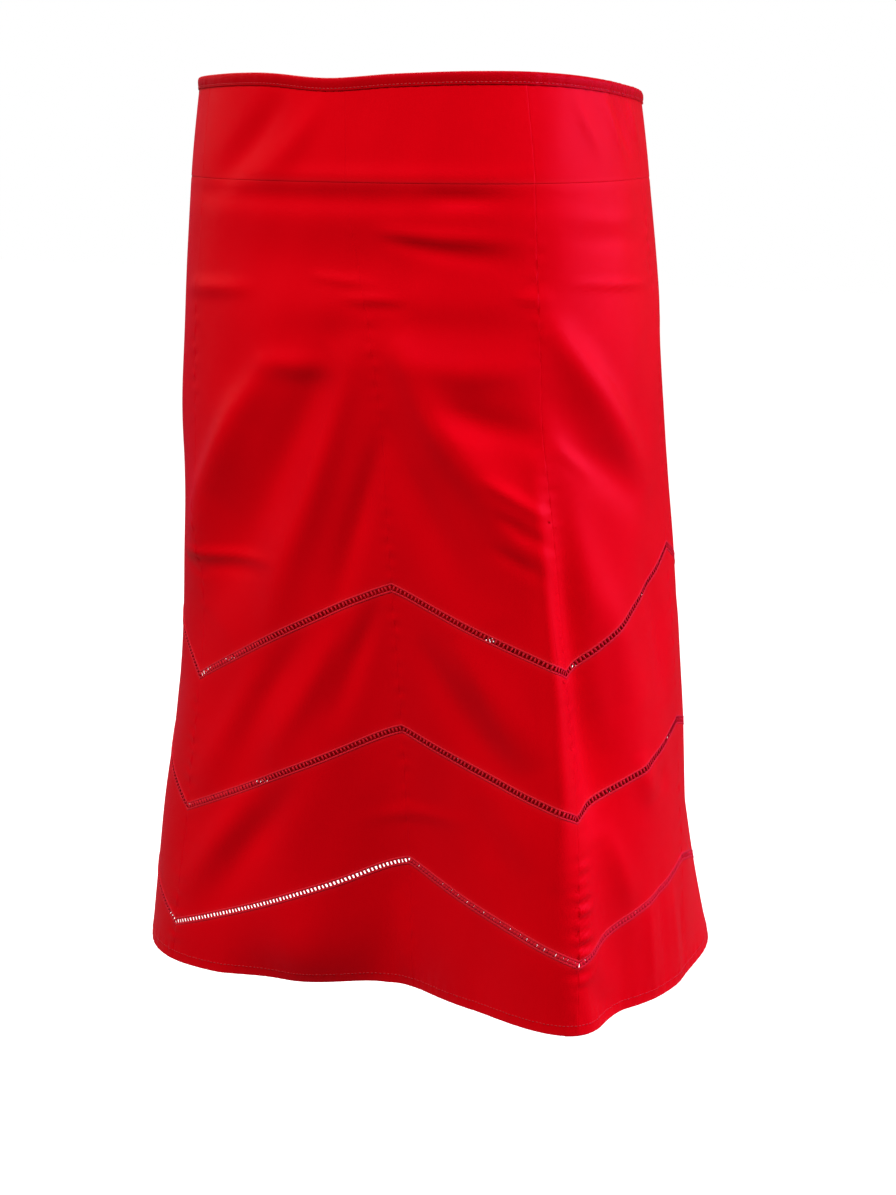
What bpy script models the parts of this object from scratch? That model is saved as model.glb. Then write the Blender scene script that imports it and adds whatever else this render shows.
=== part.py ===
"""A-line midi skirt in eight gores, with a yoke, a bound waist and three zigzag openwork bands.

The skirt hangs in the shape it has when it is worn. Its origin is the centre of the waist, +Z is up,
the front faces -Y and the wearer's left is +X. A place on the cloth is named by two numbers: its drop,
in metres below the waist, and its gore, a number that counts round from the centre front seam (0), by
way of the wearer's left side (2) and the centre back (4), to the centre front again (8).
"""
import math
from collections import namedtuple

import bmesh
import bpy
from mathutils import Matrix, Vector

# Sizes of the garment, in metres
SKIRT_LENGTH = 0.600
BINDING_DEPTH = 0.008
YOKE_DEPTH = 0.064
BAND_DEPTH = 0.006
BACK_WAIST_DIP = 0.016
BACK_YOKE_DIP = 0.010

# Where the two dips begin and end, in degrees from the centre front
WAIST_DIP_RUN = (50, 150)
YOKE_DIP_RUN = (100, 180)

# Thickness of the cloth, and the gap left at every seam
CLOTH_WALL = 0.0012
BINDING_WALL = 0.0018
BINDING_PROUD = 0.0003
BAND_WALL = 0.0010
BAND_SUNK = 0.0001
SEAM_GAP = 0.0003

# The concealed zip in the centre back seam
ZIP_END = 0.200
ZIP_CHANNEL = 0.0016
ZIP_TAPE_WIDTH = 0.012
ZIP_TAPE_WALL = 0.0010
ZIP_COIL_WIDTH = 0.0040
ZIP_COIL_WALL = 0.0016
ZIP_TAPE_END = 0.205
ZIP_TAPE_GAP = 0.0004
ZIP_START = BACK_WAIST_DIP + BINDING_DEPTH + SEAM_GAP
SLIDER_SET_DOWN = 0.0050
SLIDER_DROP = ZIP_START + SLIDER_SET_DOWN
SLIDER_WIDTH = 0.0060
SLIDER_LENGTH = 0.0080
SLIDER_WALL = 0.0018
BAIL_WIDTH = 0.0010
BAIL_HOLE = 0.0021
BAIL_RIM = 0.0009
PIVOT_PROUD = 0.0010
PULL_WIDTH = 0.0050
PULL_TOP_WIDTH = 0.0040
PULL_LENGTH = 0.0200
PULL_WALL = 0.0010
PULL_CROSSBAR = 0.0009
PULL_WINDOW_WIDTH = 0.0022
PULL_WINDOW_END = 0.0032

# Cells in each piece's mesh
CELLS_ACROSS = 10
UPPER_CELLS_DOWN = 11
TIER_CELLS_DOWN = 3
YOKE_CELLS_DOWN = 2
TAPE_CELLS_DOWN = 8
PULL_END_STEPS = 8

# Steps that the cloth's slope is measured over, in degrees and metres, and the angle of a crease in
# degrees
SLOPE_TURN = 0.25
SLOPE_FALL = 0.0005
CREASE_ANGLE = 40

GORES = 8
BACK_SEAM = 4

# Horizontal sections: half width, depth before and behind the axis, how square the oval is
# (2 is an ellipse), and how far the section stands towards the wearer's left
Section = namedtuple("Section", "drop half_width front back squareness shift")
SECTIONS = (
    Section(0.000, 0.143, 0.110, 0.112, 2.5, 0.000),
    Section(0.064, 0.151, 0.115, 0.122, 2.5, 0.000),
    Section(0.200, 0.163, 0.122, 0.138, 2.4, 0.001),
    Section(0.400, 0.174, 0.126, 0.150, 2.3, 0.007),
    Section(0.600, 0.190, 0.132, 0.166, 2.3, 0.009),
)

# Seams down the skirt: degrees round from the centre front at five drops
Seam = namedtuple("Seam", "name waist yoke hip knee hem")
SEAM_DROPS = (0.000, 0.064, 0.200, 0.400, 0.600)
SEAMS = (
    Seam("front", 1, 2, 12, 14.5, 17.5),
    Seam("left_princess", 53, 54, 54, 57, 53),
    Seam("left_side", 94, 96, 98, 97, 90),
    Seam("left_back", 132, 133, 134, 130, 122),
    Seam("back", 180, 180, 180, 180, 180),
    Seam("right_back", 228, 228, 228, 229, 231),
    Seam("right_side", 267, 267, 267, 268, 270),
    Seam("right_princess", 308, 308, 307, 310, 309),
)
GORE_NAMES = (
    "front_left", "side_left_front", "side_left_back", "back_left",
    "back_right", "side_right_back", "side_right_front", "front_right",
)

# Folds that the flare hangs in: degrees at the waist and the hem, how far the hem stands out (or in),
# half the fold's width in degrees, and the drop where it begins
Fold = namedtuple("Fold", "name at_waist at_hem reach half_width start")
FOLDS = (
    Fold("front trough", 10, 13, -0.042, 39, 0.15),
    Fold("left princess ridge", 54, 52.5, 0.027, 17, 0.20),
    Fold("right princess ridge", 304, 303, 0.023, 34, 0.25),
    Fold("left back corner", 120, 117, 0.008, 30, 0.50),
    Fold("back trough", 180, 182, -0.024, 38, 0.18),
    Fold("right back ridge", 228, 231, 0.020, 28, 0.20),
)
FOLD_GROWTH = 1.2

# Drop of each openwork band's middle where it crosses each seam: peaks at the centre and side seams,
# points down at the princess seams
Band = namedtuple(
    "Band",
    "name front left_princess left_side left_back back right_back right_side right_princess")
BANDS = (
    Band("openwork_1", 0.318, 0.368, 0.304, 0.372, 0.318, 0.372, 0.316, 0.395),
    Band("openwork_2", 0.414, 0.461, 0.424, 0.466, 0.414, 0.466, 0.416, 0.488),
    Band("openwork_3", 0.507, 0.554, 0.518, 0.556, 0.507, 0.556, 0.512, 0.572),
)
# How far a band's run rises over the straight line between its ends, gore by gore
BAND_ARCH = (0.004, 0.002, 0.004, 0.004, 0.004, 0.004, 0.006, 0.008)

Finish = namedtuple("Finish", "colour roughness metallic")
RED_CLOTH = Finish((0.62, 0.004, 0.022), 0.75, 0.0)
RED_COIL = Finish((0.45, 0.005, 0.02), 0.45, 0.0)
ENAMELLED_METAL = Finish((0.55, 0.07, 0.08), 0.35, 0.6)


def clear_scene():
    """Remove every object, so that the model starts from nothing."""
    for thing in list(bpy.data.objects):
        bpy.data.objects.remove(thing, do_unlink=True)


def make_material(name, finish):
    """A Principled material with one finish."""
    material = bpy.data.materials.new(name)
    material.use_nodes = True
    shader = material.node_tree.nodes["Principled BSDF"]
    shader.inputs["Base Color"].default_value = (*finish.colour, 1.0)
    shader.inputs["Roughness"].default_value = finish.roughness
    shader.inputs["Metallic"].default_value = finish.metallic
    return material


def value_at(drops, values, drop):
    """The value at a drop, on a smooth curve through the rows that never overshoots them."""
    drop = min(max(drop, drops[0]), drops[-1])
    steps = [b - a for a, b in zip(drops, drops[1:])]
    slopes = [(b - a) / step for a, b, step in zip(values, values[1:], steps)]
    tangents = [slopes[0]]
    for before, after in zip(slopes, slopes[1:]):
        turns = before * after <= 0
        tangents.append(0.0 if turns else 2 * before * after / (before + after))
    tangents.append(slopes[-1])
    row = 0
    while row < len(steps) - 1 and drop > drops[row + 1]:
        row += 1
    part = (drop - drops[row]) / steps[row]
    rest = 1 - part
    start = values[row] * (1 + 2 * part) * rest ** 2
    end = values[row + 1] * (3 - 2 * part) * part ** 2
    lean = steps[row] * part * rest * (tangents[row] * rest - tangents[row + 1] * part)
    return start + end + lean


def section_at(drop):
    """The horizontal section at a drop."""
    drops = [section.drop for section in SECTIONS]
    columns = [value_at(drops, column, drop) for column in list(zip(*SECTIONS))[1:]]
    return Section(drop, *columns)


def seam_angle(seam, drop):
    """Degrees round from the centre front to a seam at a drop."""
    return value_at(SEAM_DROPS, SEAMS[seam % GORES][1:], drop) + 360 * (seam // GORES)


def gore_angle(gore, drop):
    """Degrees round from the centre front to a gore number at a drop."""
    seam = math.floor(gore)
    before = seam_angle(seam, drop)
    after = seam_angle(seam + 1, drop)
    return before + (after - before) * (gore - seam)


def fold_reach(angle, drop):
    """How far the folds move the cloth out at an angle and a drop."""
    reach = 0.0
    for fold in FOLDS:
        middle = fold.at_waist + (fold.at_hem - fold.at_waist) * drop / SKIRT_LENGTH
        off = abs((angle - middle + 180) % 360 - 180)
        if drop > fold.start and off < fold.half_width:
            growth = ((drop - fold.start) / (SKIRT_LENGTH - fold.start)) ** FOLD_GROWTH
            reach += fold.reach * growth * (0.5 + 0.5 * math.cos(math.pi * off / fold.half_width))
    return reach


def cloth_point(angle, drop):
    """The point of the cloth's outer face at an angle and a drop."""
    section = section_at(drop)
    sine = math.sin(math.radians(angle))
    cosine = math.cos(math.radians(angle))
    depth = section.front if cosine > 0 else section.back
    power = section.squareness
    oval = abs(sine / section.half_width) ** power + abs(cosine / depth) ** power
    radius = oval ** (-1 / power) + fold_reach(angle, drop)
    return Vector((radius * sine + section.shift, -radius * cosine, -drop))


def cloth_normal(angle, drop):
    """The outward normal of the cloth at an angle and a drop."""
    round_skirt = cloth_point(angle + SLOPE_TURN, drop) - cloth_point(angle - SLOPE_TURN, drop)
    low = min(drop + SLOPE_FALL, SKIRT_LENGTH)
    down_skirt = cloth_point(angle, low) - cloth_point(angle, low - 2 * SLOPE_FALL)
    return down_skirt.cross(round_skirt).normalized()


def ease(value, start, end):
    """Rise smoothly from 0 to 1 while the value goes from start to end."""
    part = min(max((value - start) / (end - start), 0.0), 1.0)
    return part * part * (3 - 2 * part)


def degrees_from_front(gore):
    """Degrees from the centre front, on either side, at the waist."""
    return abs((gore_angle(gore, 0.0) + 180) % 360 - 180)


def waist_edge(gore):
    """Drop of the waist's top edge, which dips from the sides to the back."""
    return BACK_WAIST_DIP * ease(degrees_from_front(gore), *WAIST_DIP_RUN)


def binding_edge(gore):
    """Drop of the binding's lower edge."""
    return waist_edge(gore) + BINDING_DEPTH


def yoke_seam(gore):
    """Drop of the yoke's seam, which dips a little at the back."""
    return YOKE_DEPTH + BACK_YOKE_DIP * ease(degrees_from_front(gore), *YOKE_DIP_RUN)


def band_middle(band, gore):
    """Drop of the middle of an openwork band."""
    seam = math.floor(gore) % GORES
    part = gore - math.floor(gore)
    drops = band[1:]
    straight = drops[seam] + (drops[(seam + 1) % GORES] - drops[seam]) * part
    return straight - BAND_ARCH[seam] * 4 * part * (1 - part)


def band_top(band):
    """The upper edge of a band, as a drop for every gore number."""
    return lambda gore: band_middle(band, gore) - BAND_DEPTH / 2


def band_foot(band):
    """The lower edge of a band, as a drop for every gore number."""
    return lambda gore: band_middle(band, gore) + BAND_DEPTH / 2


def hem_edge(gore):
    """Drop of the hem."""
    return SKIRT_LENGTH


def edge_trim(gore, drop):
    """How far a panel's side edge stands back from its seam."""
    in_zip = round(gore) % GORES == BACK_SEAM and drop < ZIP_END
    return (ZIP_CHANNEL if in_zip else SEAM_GAP) / 2


def add_object(name, mesh_data, material, collection):
    """Make a named object from a bmesh and link it."""
    mesh = bpy.data.meshes.new(name)
    mesh_data.to_mesh(mesh)
    mesh_data.free()
    mesh.materials.append(material)
    mesh.shade_smooth()
    mesh.set_sharp_from_angle(angle=math.radians(CREASE_ANGLE))
    thing = bpy.data.objects.new(name, mesh)
    collection.objects.link(thing)
    return thing


def flat_slab(across, down):
    """A closed slab of cells: x and y run from 0 to 1, and z is 0 outside and 1 inside."""
    slab = bmesh.new()
    bmesh.ops.create_grid(slab, x_segments=across, y_segments=down, size=0.5)
    bmesh.ops.translate(slab, verts=slab.verts, vec=(0.5, 0.5, 0.0))
    sheet = list(slab.verts) + list(slab.edges) + list(slab.faces)
    copied = bmesh.ops.duplicate(slab, geom=sheet)["geom"]
    inside = [part for part in copied if isinstance(part, bmesh.types.BMVert)]
    bmesh.ops.translate(slab, verts=inside, vec=(0.0, 0.0, 1.0))
    rims = [edge for edge in slab.edges if edge.is_boundary]
    bmesh.ops.bridge_loops(slab, edges=rims)
    bmesh.ops.recalc_face_normals(slab, faces=slab.faces)
    return slab


def flat_ring(steps):
    """A closed ring of square section: radius 2 is outside and 1 inside, and z runs from 0 to 1."""
    ring = bmesh.new()
    corners = [ring.verts.new(place) for place in ((1, 0, 0), (2, 0, 0), (2, 0, 1), (1, 0, 1))]
    profile = [ring.edges.new((corners[i], corners[i - 1])) for i in range(4)]
    bmesh.ops.spin(
        ring, geom=corners + profile, cent=(0, 0, 0), axis=(0, 0, 1), angle=2 * math.pi,
        steps=steps, use_merge=True)
    bmesh.ops.recalc_face_normals(ring, faces=ring.faces)
    return ring


def lay_on_cloth(angle, drop, depth):
    """The point that lies a depth inside the cloth's outer face."""
    return cloth_point(angle, drop) - cloth_normal(angle, drop) * depth


def drape_panel(name, gores, edges, cells, material, collection, wall=CLOTH_WALL, sunk=0.0):
    """Lay a slab on the cloth's face between two gore numbers and two edges."""
    start, end = gores
    top, foot = edges
    slab = flat_slab(*cells)
    for corner in slab.verts:
        across, down, layer = corner.co
        gore = start + (end - start) * across
        high = top(gore) + SEAM_GAP / 2
        low = foot(gore) - (0.0 if foot is hem_edge else SEAM_GAP / 2)
        drop = high + (low - high) * down
        angle = gore_angle(gore, drop)
        trim = edge_trim(start, drop) * (1 - across) - edge_trim(end, drop) * across
        angle += math.degrees(trim / cloth_point(angle, drop).xy.length)
        corner.co = lay_on_cloth(angle, drop, sunk + wall * layer)
    return add_object(name, slab, material, collection)


def drape_ring(name, edges, material, collection, wall, sunk):
    """Lay a closed ring on the cloth's face, all the way round between two edges."""
    top, foot = edges
    steps = GORES * CELLS_ACROSS
    ring = flat_ring(steps)
    for corner in ring.verts:
        turn = math.atan2(corner.co.y, corner.co.x) / (2 * math.pi)
        gore = round(turn * steps) % steps / CELLS_ACROSS
        layer = 2 - corner.co.xy.length
        high = top(gore) + SEAM_GAP / 2
        low = foot(gore) - SEAM_GAP / 2
        drop = low + (high - low) * corner.co.z
        corner.co = lay_on_cloth(gore_angle(gore, drop), drop, sunk + wall * layer)
    return add_object(name, ring, material, collection)


def drape_tape(name, sides, drops, material, collection, wall):
    """Lay a narrow strip along the inside of the centre back seam, between two sideways distances."""
    slab = flat_slab(1, TAPE_CELLS_DOWN)
    for corner in slab.verts:
        across, down, layer = corner.co
        side = sides[0] + (sides[1] - sides[0]) * across
        drop = drops[0] + (drops[1] - drops[0]) * down
        angle = seam_angle(BACK_SEAM, drop)
        angle += math.degrees(side / cloth_point(angle, drop).xy.length)
        corner.co = lay_on_cloth(angle, drop, CLOTH_WALL + ZIP_TAPE_GAP + wall * layer)
    return add_object(name, slab, material, collection)


def build_cloth(material, collection):
    """The binding, the yoke, the upper gores, the tiers and the openwork bands."""
    drape_panel(
        "waist_binding", (BACK_SEAM, BACK_SEAM + GORES), (waist_edge, binding_edge),
        (GORES * CELLS_ACROSS, 1), material, collection, BINDING_WALL, -BINDING_PROUD)
    rows = [
        ("yoke", binding_edge, yoke_seam, YOKE_CELLS_DOWN),
        ("upper", yoke_seam, band_top(BANDS[0]), UPPER_CELLS_DOWN),
    ]
    for number, band in enumerate(BANDS, start=1):
        foot = band_top(BANDS[number]) if number < len(BANDS) else hem_edge
        rows.append((f"tier_{number}", band_foot(band), foot, TIER_CELLS_DOWN))
        drape_ring(band.name, (band_top(band), band_foot(band)), material, collection,
                   BAND_WALL, BAND_SUNK)
    for row, top, foot, cells_down in rows:
        for gore, gore_name in enumerate(GORE_NAMES):
            drape_panel(
                f"{row}_{gore_name}", (gore, gore + 1), (top, foot), (CELLS_ACROSS, cells_down),
                material, collection)


def zip_frame():
    """Where the slider sits: x is the wearer's left, y runs down the cloth and z stands out of it."""
    angle = seam_angle(BACK_SEAM, SLIDER_DROP)
    seat = cloth_point(angle, SLIDER_DROP)
    down = (cloth_point(angle, SLIDER_DROP + SLOPE_FALL) - seat).normalized()
    side = down.cross(cloth_normal(angle, SLIDER_DROP)).normalized()
    frame = Matrix((side, down, side.cross(down))).transposed().to_4x4()
    frame.translation = seat
    return frame


def build_zip_cloth(cloth, coil, collection):
    """The two tapes on either side of the channel, and the closed coil between them."""
    inner = ZIP_COIL_WIDTH / 2 + SEAM_GAP
    outer = inner + ZIP_TAPE_WIDTH
    drops = (ZIP_START + SEAM_GAP, ZIP_TAPE_END)
    drape_tape("zip_tape_left", (-outer, -inner), drops, cloth, collection, ZIP_TAPE_WALL)
    drape_tape("zip_tape_right", (inner, outer), drops, cloth, collection, ZIP_TAPE_WALL)
    below_slider = SLIDER_DROP + SLIDER_LENGTH / 2 + SEAM_GAP
    half = ZIP_COIL_WIDTH / 2
    drape_tape("zip_coil", (-half, half), (below_slider, ZIP_END), coil, collection, ZIP_COIL_WALL)


def slider_bail(frame, cutters):
    """The bail that reaches out through the channel, with a square hole for the pull's crossbar."""
    foot = -(CLOTH_WALL + ZIP_TAPE_GAP + ZIP_TAPE_WALL + SEAM_GAP + SLIDER_WALL / 2)
    hole_foot = PIVOT_PROUD - BAIL_HOLE / 2
    crown = PIVOT_PROUD + BAIL_HOLE / 2 + BAIL_RIM
    length = BAIL_HOLE + 2 * BAIL_RIM
    bail = bmesh.new()
    bmesh.ops.create_cube(bail, size=1.0)
    bmesh.ops.scale(bail, verts=bail.verts, vec=(BAIL_WIDTH, length, crown - foot))
    bmesh.ops.translate(bail, verts=bail.verts, vec=(0.0, 0.0, (crown + foot) / 2))
    cheeks = [face for face in bail.faces if abs(face.normal.x) > 0.9]
    bmesh.ops.inset_individual(bail, faces=cheeks, thickness=BAIL_RIM)
    for corner in {corner for cheek in cheeks for corner in cheek.verts}:
        corner.co.z = max(corner.co.z, hole_foot)
    loops = [edge for cheek in cheeks for edge in cheek.edges]
    bmesh.ops.delete(bail, geom=cheeks, context="FACES_ONLY")
    bmesh.ops.bridge_loops(bail, edges=loops)
    bmesh.ops.recalc_face_normals(bail, faces=bail.faces)
    mesh = bpy.data.meshes.new("slider_bail")
    bail.to_mesh(mesh)
    bail.free()
    cutter = bpy.data.objects.new("slider_bail", mesh)
    cutter.matrix_world = frame
    cutter.hide_render = True
    cutter.display_type = "WIRE"
    cutters.objects.link(cutter)
    return cutter


def build_slider(metal, frame, collection, cutters):
    """The slider's body behind the tapes, joined to the bail."""
    face = -(CLOTH_WALL + ZIP_TAPE_GAP + ZIP_TAPE_WALL + SEAM_GAP)
    body = bmesh.new()
    bmesh.ops.create_cube(body, size=1.0)
    bmesh.ops.scale(body, verts=body.verts, vec=(SLIDER_WIDTH, SLIDER_LENGTH, SLIDER_WALL))
    bmesh.ops.translate(body, verts=body.verts, vec=(0.0, 0.0, face - SLIDER_WALL / 2))
    slider = add_object("zip_slider", body, metal, collection)
    slider.matrix_world = frame
    join = slider.modifiers.new("bail", "BOOLEAN")
    join.operation = "UNION"
    join.object = slider_bail(frame, cutters)
    return slider


def build_pull(metal, frame, collection):
    """The flat pull tab, hung by its crossbar in the bail's hole. Its origin is on the hinge."""
    curve = bpy.data.curves.new("zip_pull", "CURVE")
    curve.dimensions = "2D"
    curve.fill_mode = "BOTH"
    curve.extrude = PULL_WALL / 2
    half = PULL_WIDTH / 2
    turn_centre = PULL_LENGTH - half
    turns = [step * math.pi / PULL_END_STEPS for step in range(PULL_END_STEPS + 1)]
    end = [(half * math.cos(turn), turn_centre + half * math.sin(turn)) for turn in turns]
    top = -PULL_CROSSBAR / 2
    window = PULL_WINDOW_WIDTH / 2
    shoulder = PULL_TOP_WIDTH / 2
    outline = [(-shoulder, top), (shoulder, top)] + end
    hole = [(-window, -top), (window, -top), (window, PULL_WINDOW_END), (-window, PULL_WINDOW_END)]
    for points in (outline, hole):
        spline = curve.splines.new("POLY")
        spline.points.add(len(points) - 1)
        for point, (x, y) in zip(spline.points, points):
            point.co = (x, y, 0.0, 1.0)
        spline.use_cyclic_u = True
    curve.materials.append(metal)
    pull = bpy.data.objects.new("zip_pull", curve)
    pull.matrix_world = frame @ Matrix.Translation((0.0, 0.0, PIVOT_PROUD))
    collection.objects.link(pull)
    return pull


def main():
    """Build the skirt."""
    clear_scene()
    collection = bpy.data.collections.new("a_line_midi_skirt")
    cutters = bpy.data.collections.new("cutters")
    for group in (collection, cutters):
        bpy.context.scene.collection.children.link(group)
    cloth = make_material("red_cloth", RED_CLOTH)
    coil = make_material("red_coil", RED_COIL)
    metal = make_material("enamelled_metal", ENAMELLED_METAL)
    build_cloth(cloth, collection)
    build_zip_cloth(cloth, coil, collection)
    frame = zip_frame()
    build_slider(metal, frame, collection, cutters)
    build_pull(metal, frame, collection)


main()
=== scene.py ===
"""A-line midi skirt: the cloth, openwork, stitching and zip, sewn over the measured frame.

A place on the cloth is named by its angle, in degrees round from the centre front by way of the
wearer's left side, and its drop, in metres below the waist. A gore number counts the same way round:
0 is the centre front seam, 2 the left side, 4 the centre back and 6 the right side.
"""
import math
from collections import namedtuple

import bmesh
import bpy
import numpy as np
from mathutils import Matrix, Vector


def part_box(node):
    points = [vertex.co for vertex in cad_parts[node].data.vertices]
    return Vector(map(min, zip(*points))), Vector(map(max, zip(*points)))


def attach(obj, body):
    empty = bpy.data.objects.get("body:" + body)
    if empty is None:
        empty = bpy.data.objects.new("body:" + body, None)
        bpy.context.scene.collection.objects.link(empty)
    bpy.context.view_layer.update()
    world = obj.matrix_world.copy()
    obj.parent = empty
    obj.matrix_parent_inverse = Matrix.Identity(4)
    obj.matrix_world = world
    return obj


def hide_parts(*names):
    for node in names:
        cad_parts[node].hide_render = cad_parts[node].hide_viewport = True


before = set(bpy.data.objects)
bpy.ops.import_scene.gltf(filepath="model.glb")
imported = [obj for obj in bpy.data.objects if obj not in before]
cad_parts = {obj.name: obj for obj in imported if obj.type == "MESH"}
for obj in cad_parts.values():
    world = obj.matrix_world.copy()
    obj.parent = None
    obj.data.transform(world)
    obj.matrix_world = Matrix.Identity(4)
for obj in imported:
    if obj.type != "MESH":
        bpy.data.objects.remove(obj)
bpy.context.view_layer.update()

bl_info = {
    "name": "A-line midi skirt",
    "version": (1, 0, 0),
    "blender": (4, 5, 0),
    "location": "View3D > Sidebar > Skirt",
    "description": "Sews the skirt's cloth, openwork, stitching and zip over its measured frame",
    "category": "Object",
}

# The skirt's main measures, in metres; a drop is measured down from the waist
GORES = 8
BACK_SEAM = 4
SKIRT_LENGTH = 0.600
MEAN_RADIUS = 0.155
BINDING_DEPTH = 0.008
YOKE_TOP_TUCK = 0.0030
YOKE_DEPTH = 0.064
BAND_DEPTH = 0.006
BACK_WAIST_DIP = 0.016
BACK_YOKE_DIP = 0.010
WAIST_DIP_RUN = (50, 150)
YOKE_DIP_RUN = (100, 180)

# Edges and seams: how far the cloth turns under, laps over its neighbour and is tucked below it, and
# how many places are measured along a panel's edges
BAND_TURN = 0.0045
RAW_EDGE = 0.0015
SEAM_LAP = 0.00014
SEAM_TUCK = 0.0002
# How far from a panel's end its edge is lightened, partly as wear and partly as a painted highlight
WEAR_AND_HIGHLIGHT_REACH = 0.0012
EDGE_SAMPLES = 21
DROP_SAMPLES = 16
WIDTH_SAMPLES = 25
GORE_MAP_STEP = 0.2

# Openwork: the rails lie along both edges of a band, and its bars stand between them. The bars are
# fuller where the work is drawn together: across the back, over the hem and beside one corner.
RAIL_MARGIN = -0.0002
RAIL_WIDTHS = {"openwork_1": 0.00155, "openwork_2": 0.00155, "openwork_3": 0.00205}
RAIL_THICKNESS = 0.0010
RAIL_SIDES = 8
RAIL_STEPS = GORES * 44
RAIL_MAP_STEP = 0.15
RING_RADIUS = 4.0
BAND_SUNK = 0.0001
BAR_REACH = 0.0020
BAR_THICKNESS = 0.0007
BAR_SIDES = 6
BAR_UNEVEN = 0.00020
BACK_FULLNESS = 0.75
BACK_FULL_RUN = (-1.6, -1.2)
HEM_FULLNESS = 0.45
FRONT_FULLNESS = 0.95
FRONT_FULL_GORE = 1.0
FRONT_FULL_RUN = (-1.02, -0.99)
CORNER_FULLNESS = 0.9
CORNER_FULL_GORE = 7.15
CORNER_FULL_WIDTH = 0.35

# Stitching, and the small differences from one stitch or bar to the next
STITCH_RADIUS = 0.00022
STITCH_SHARE = 0.72
STITCH_UNEVEN = 0.00006
BINDING_STITCH_DROP = 0.0064
BINDING_STITCH_OUT = 0.0007
BINDING_STITCH_END = 0.02
HEM_STITCH_UP = 0.0066
HEM_STITCH_OUT = 0.0001
UNEVEN_TURNS = (2.399, 5.1)
UNEVEN_LEAN = 400

# Lines along the cloth, in gore numbers: places measured in a gore, how far ahead and behind a line's
# slope is read, and the last of a gore before the next seam
LINE_SAMPLES = 60
LOOK_ALONG = 0.01
SEAM_SHY = 0.9999

# The zip: a depth is measured inward from the cloth's face
ZIP_END = 0.200
ZIP_CHANNEL = 0.0016
ZIP_LIPS = 0.0005
ZIP_SLIDER_END = 0.050
ZIP_SLIDER_RUN = 0.006
ZIP_END_RUN = 0.012
ZIP_TAPE_END = 0.205
ZIP_TAPE_WIDTH = 0.012
ZIP_COIL_WIDTH = 0.0040
ZIP_GAP = 0.0003
TAPE_DEPTH = 0.0022
TAPE_WALL = 0.0005
TAPE_CELLS = (5, 59)
COIL_DEPTH = 0.0027
COIL_THICKNESS = 0.0016
COIL_PITCH = 0.0011
COIL_FULL = 0.52
COIL_LEAN = 0.25
METAL_EDGE = 0.00022
METAL_FLAT = math.radians(2)
METAL_SHARP = math.radians(20)
METAL_SMOOTH = math.radians(45)

# The binding: its puckers are drawn tighter over each hip, as degrees, half width and strength
BINDING_RADIUS = 0.135
BINDING_FINENESS = 1.25
# How far from its fold the binding is lightened, partly as wear and partly as a painted highlight
BINDING_WEAR_AND_HIGHLIGHT = 0.0010
BINDING_OUTSIDE = (-0.0006, 0.0008)
BINDING_PUCKER = 0.00032
BINDING_PUCKER_TURNS = 118
BINDING_PUCKER_SLANT = 260
BINDING_DRAWN_ALL = 0.35
BINDING_DRAWN = ((84, 50, 0.65), (262, 40, 0.4))

# The binding's cloth, from its hidden raw edge inside, over the waist, to the edge turned under in
# front: drop from the top and depth
BINDING_TURN = (
    (0.0084, 0.0021), (0.0060, 0.0021), (0.0034, 0.0021), (0.0016, 0.0019), (0.0007, 0.0015),
    (0.0002, 0.0010), (0.0000, 0.0003), (0.0002, -0.0004), (0.0007, -0.0009), (0.0014, -0.0012),
    (0.0024, -0.0013), (0.0036, -0.0012), (0.0048, -0.0010), (0.0058, -0.0008), (0.0064, -0.0006),
    (0.0070, -0.0006), (0.0076, -0.0006), (0.0080, -0.0004), (0.0080, -0.0001), (0.0076, 0.0001),
    (0.0064, 0.0001),
)
BINDING_FOLD_ROW = 6

# Horizontal sections: half width, depth before and behind the axis, how square the oval is, and how
# far the section stands towards the wearer's left
Section = namedtuple("Section", "drop half_width front back squareness shift")
SECTIONS = (
    Section(0.000, 0.143, 0.110, 0.112, 2.5, 0.000),
    Section(0.064, 0.151, 0.115, 0.122, 2.5, 0.000),
    Section(0.200, 0.163, 0.122, 0.138, 2.4, 0.001),
    Section(0.400, 0.174, 0.126, 0.150, 2.3, 0.007),
    Section(0.600, 0.190, 0.132, 0.166, 2.3, 0.009),
)

# Seams down the skirt: degrees round from the centre front at five drops
Seam = namedtuple("Seam", "name waist yoke hip knee hem")
SEAM_DROPS = (0.000, 0.064, 0.200, 0.400, 0.600)
SEAMS = (
    Seam("front", 1, 2, 12, 14.5, 17.5),
    Seam("left_princess", 53, 54, 54, 57, 53),
    Seam("left_side", 94, 96, 98, 97, 90),
    Seam("left_back", 132, 133, 134, 130, 122),
    Seam("back", 180, 180, 180, 180, 180),
    Seam("right_back", 228, 228, 228, 229, 231),
    Seam("right_side", 267, 267, 267, 268, 270),
    Seam("right_princess", 308, 308, 307, 310, 309),
)
GORE_NAMES = (
    "front_left", "side_left_front", "side_left_back", "back_left",
    "back_right", "side_right_back", "side_right_front", "front_right",
)

# Folds of the flare: degrees at the waist and the hem, reach at the hem, half width in degrees, start
Fold = namedtuple("Fold", "name at_waist at_hem reach half_width start")
FOLDS = (
    Fold("front trough", 10, 13, -0.042, 39, 0.15),
    Fold("left princess ridge", 54, 52.5, 0.027, 17, 0.20),
    Fold("right princess ridge", 304, 303, 0.023, 34, 0.25),
    Fold("left back corner", 120, 117, 0.008, 30, 0.50),
    Fold("back trough", 180, 182, -0.024, 38, 0.18),
    Fold("right back ridge", 228, 231, 0.020, 28, 0.20),
)
FOLD_GROWTH = 1.2

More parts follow.
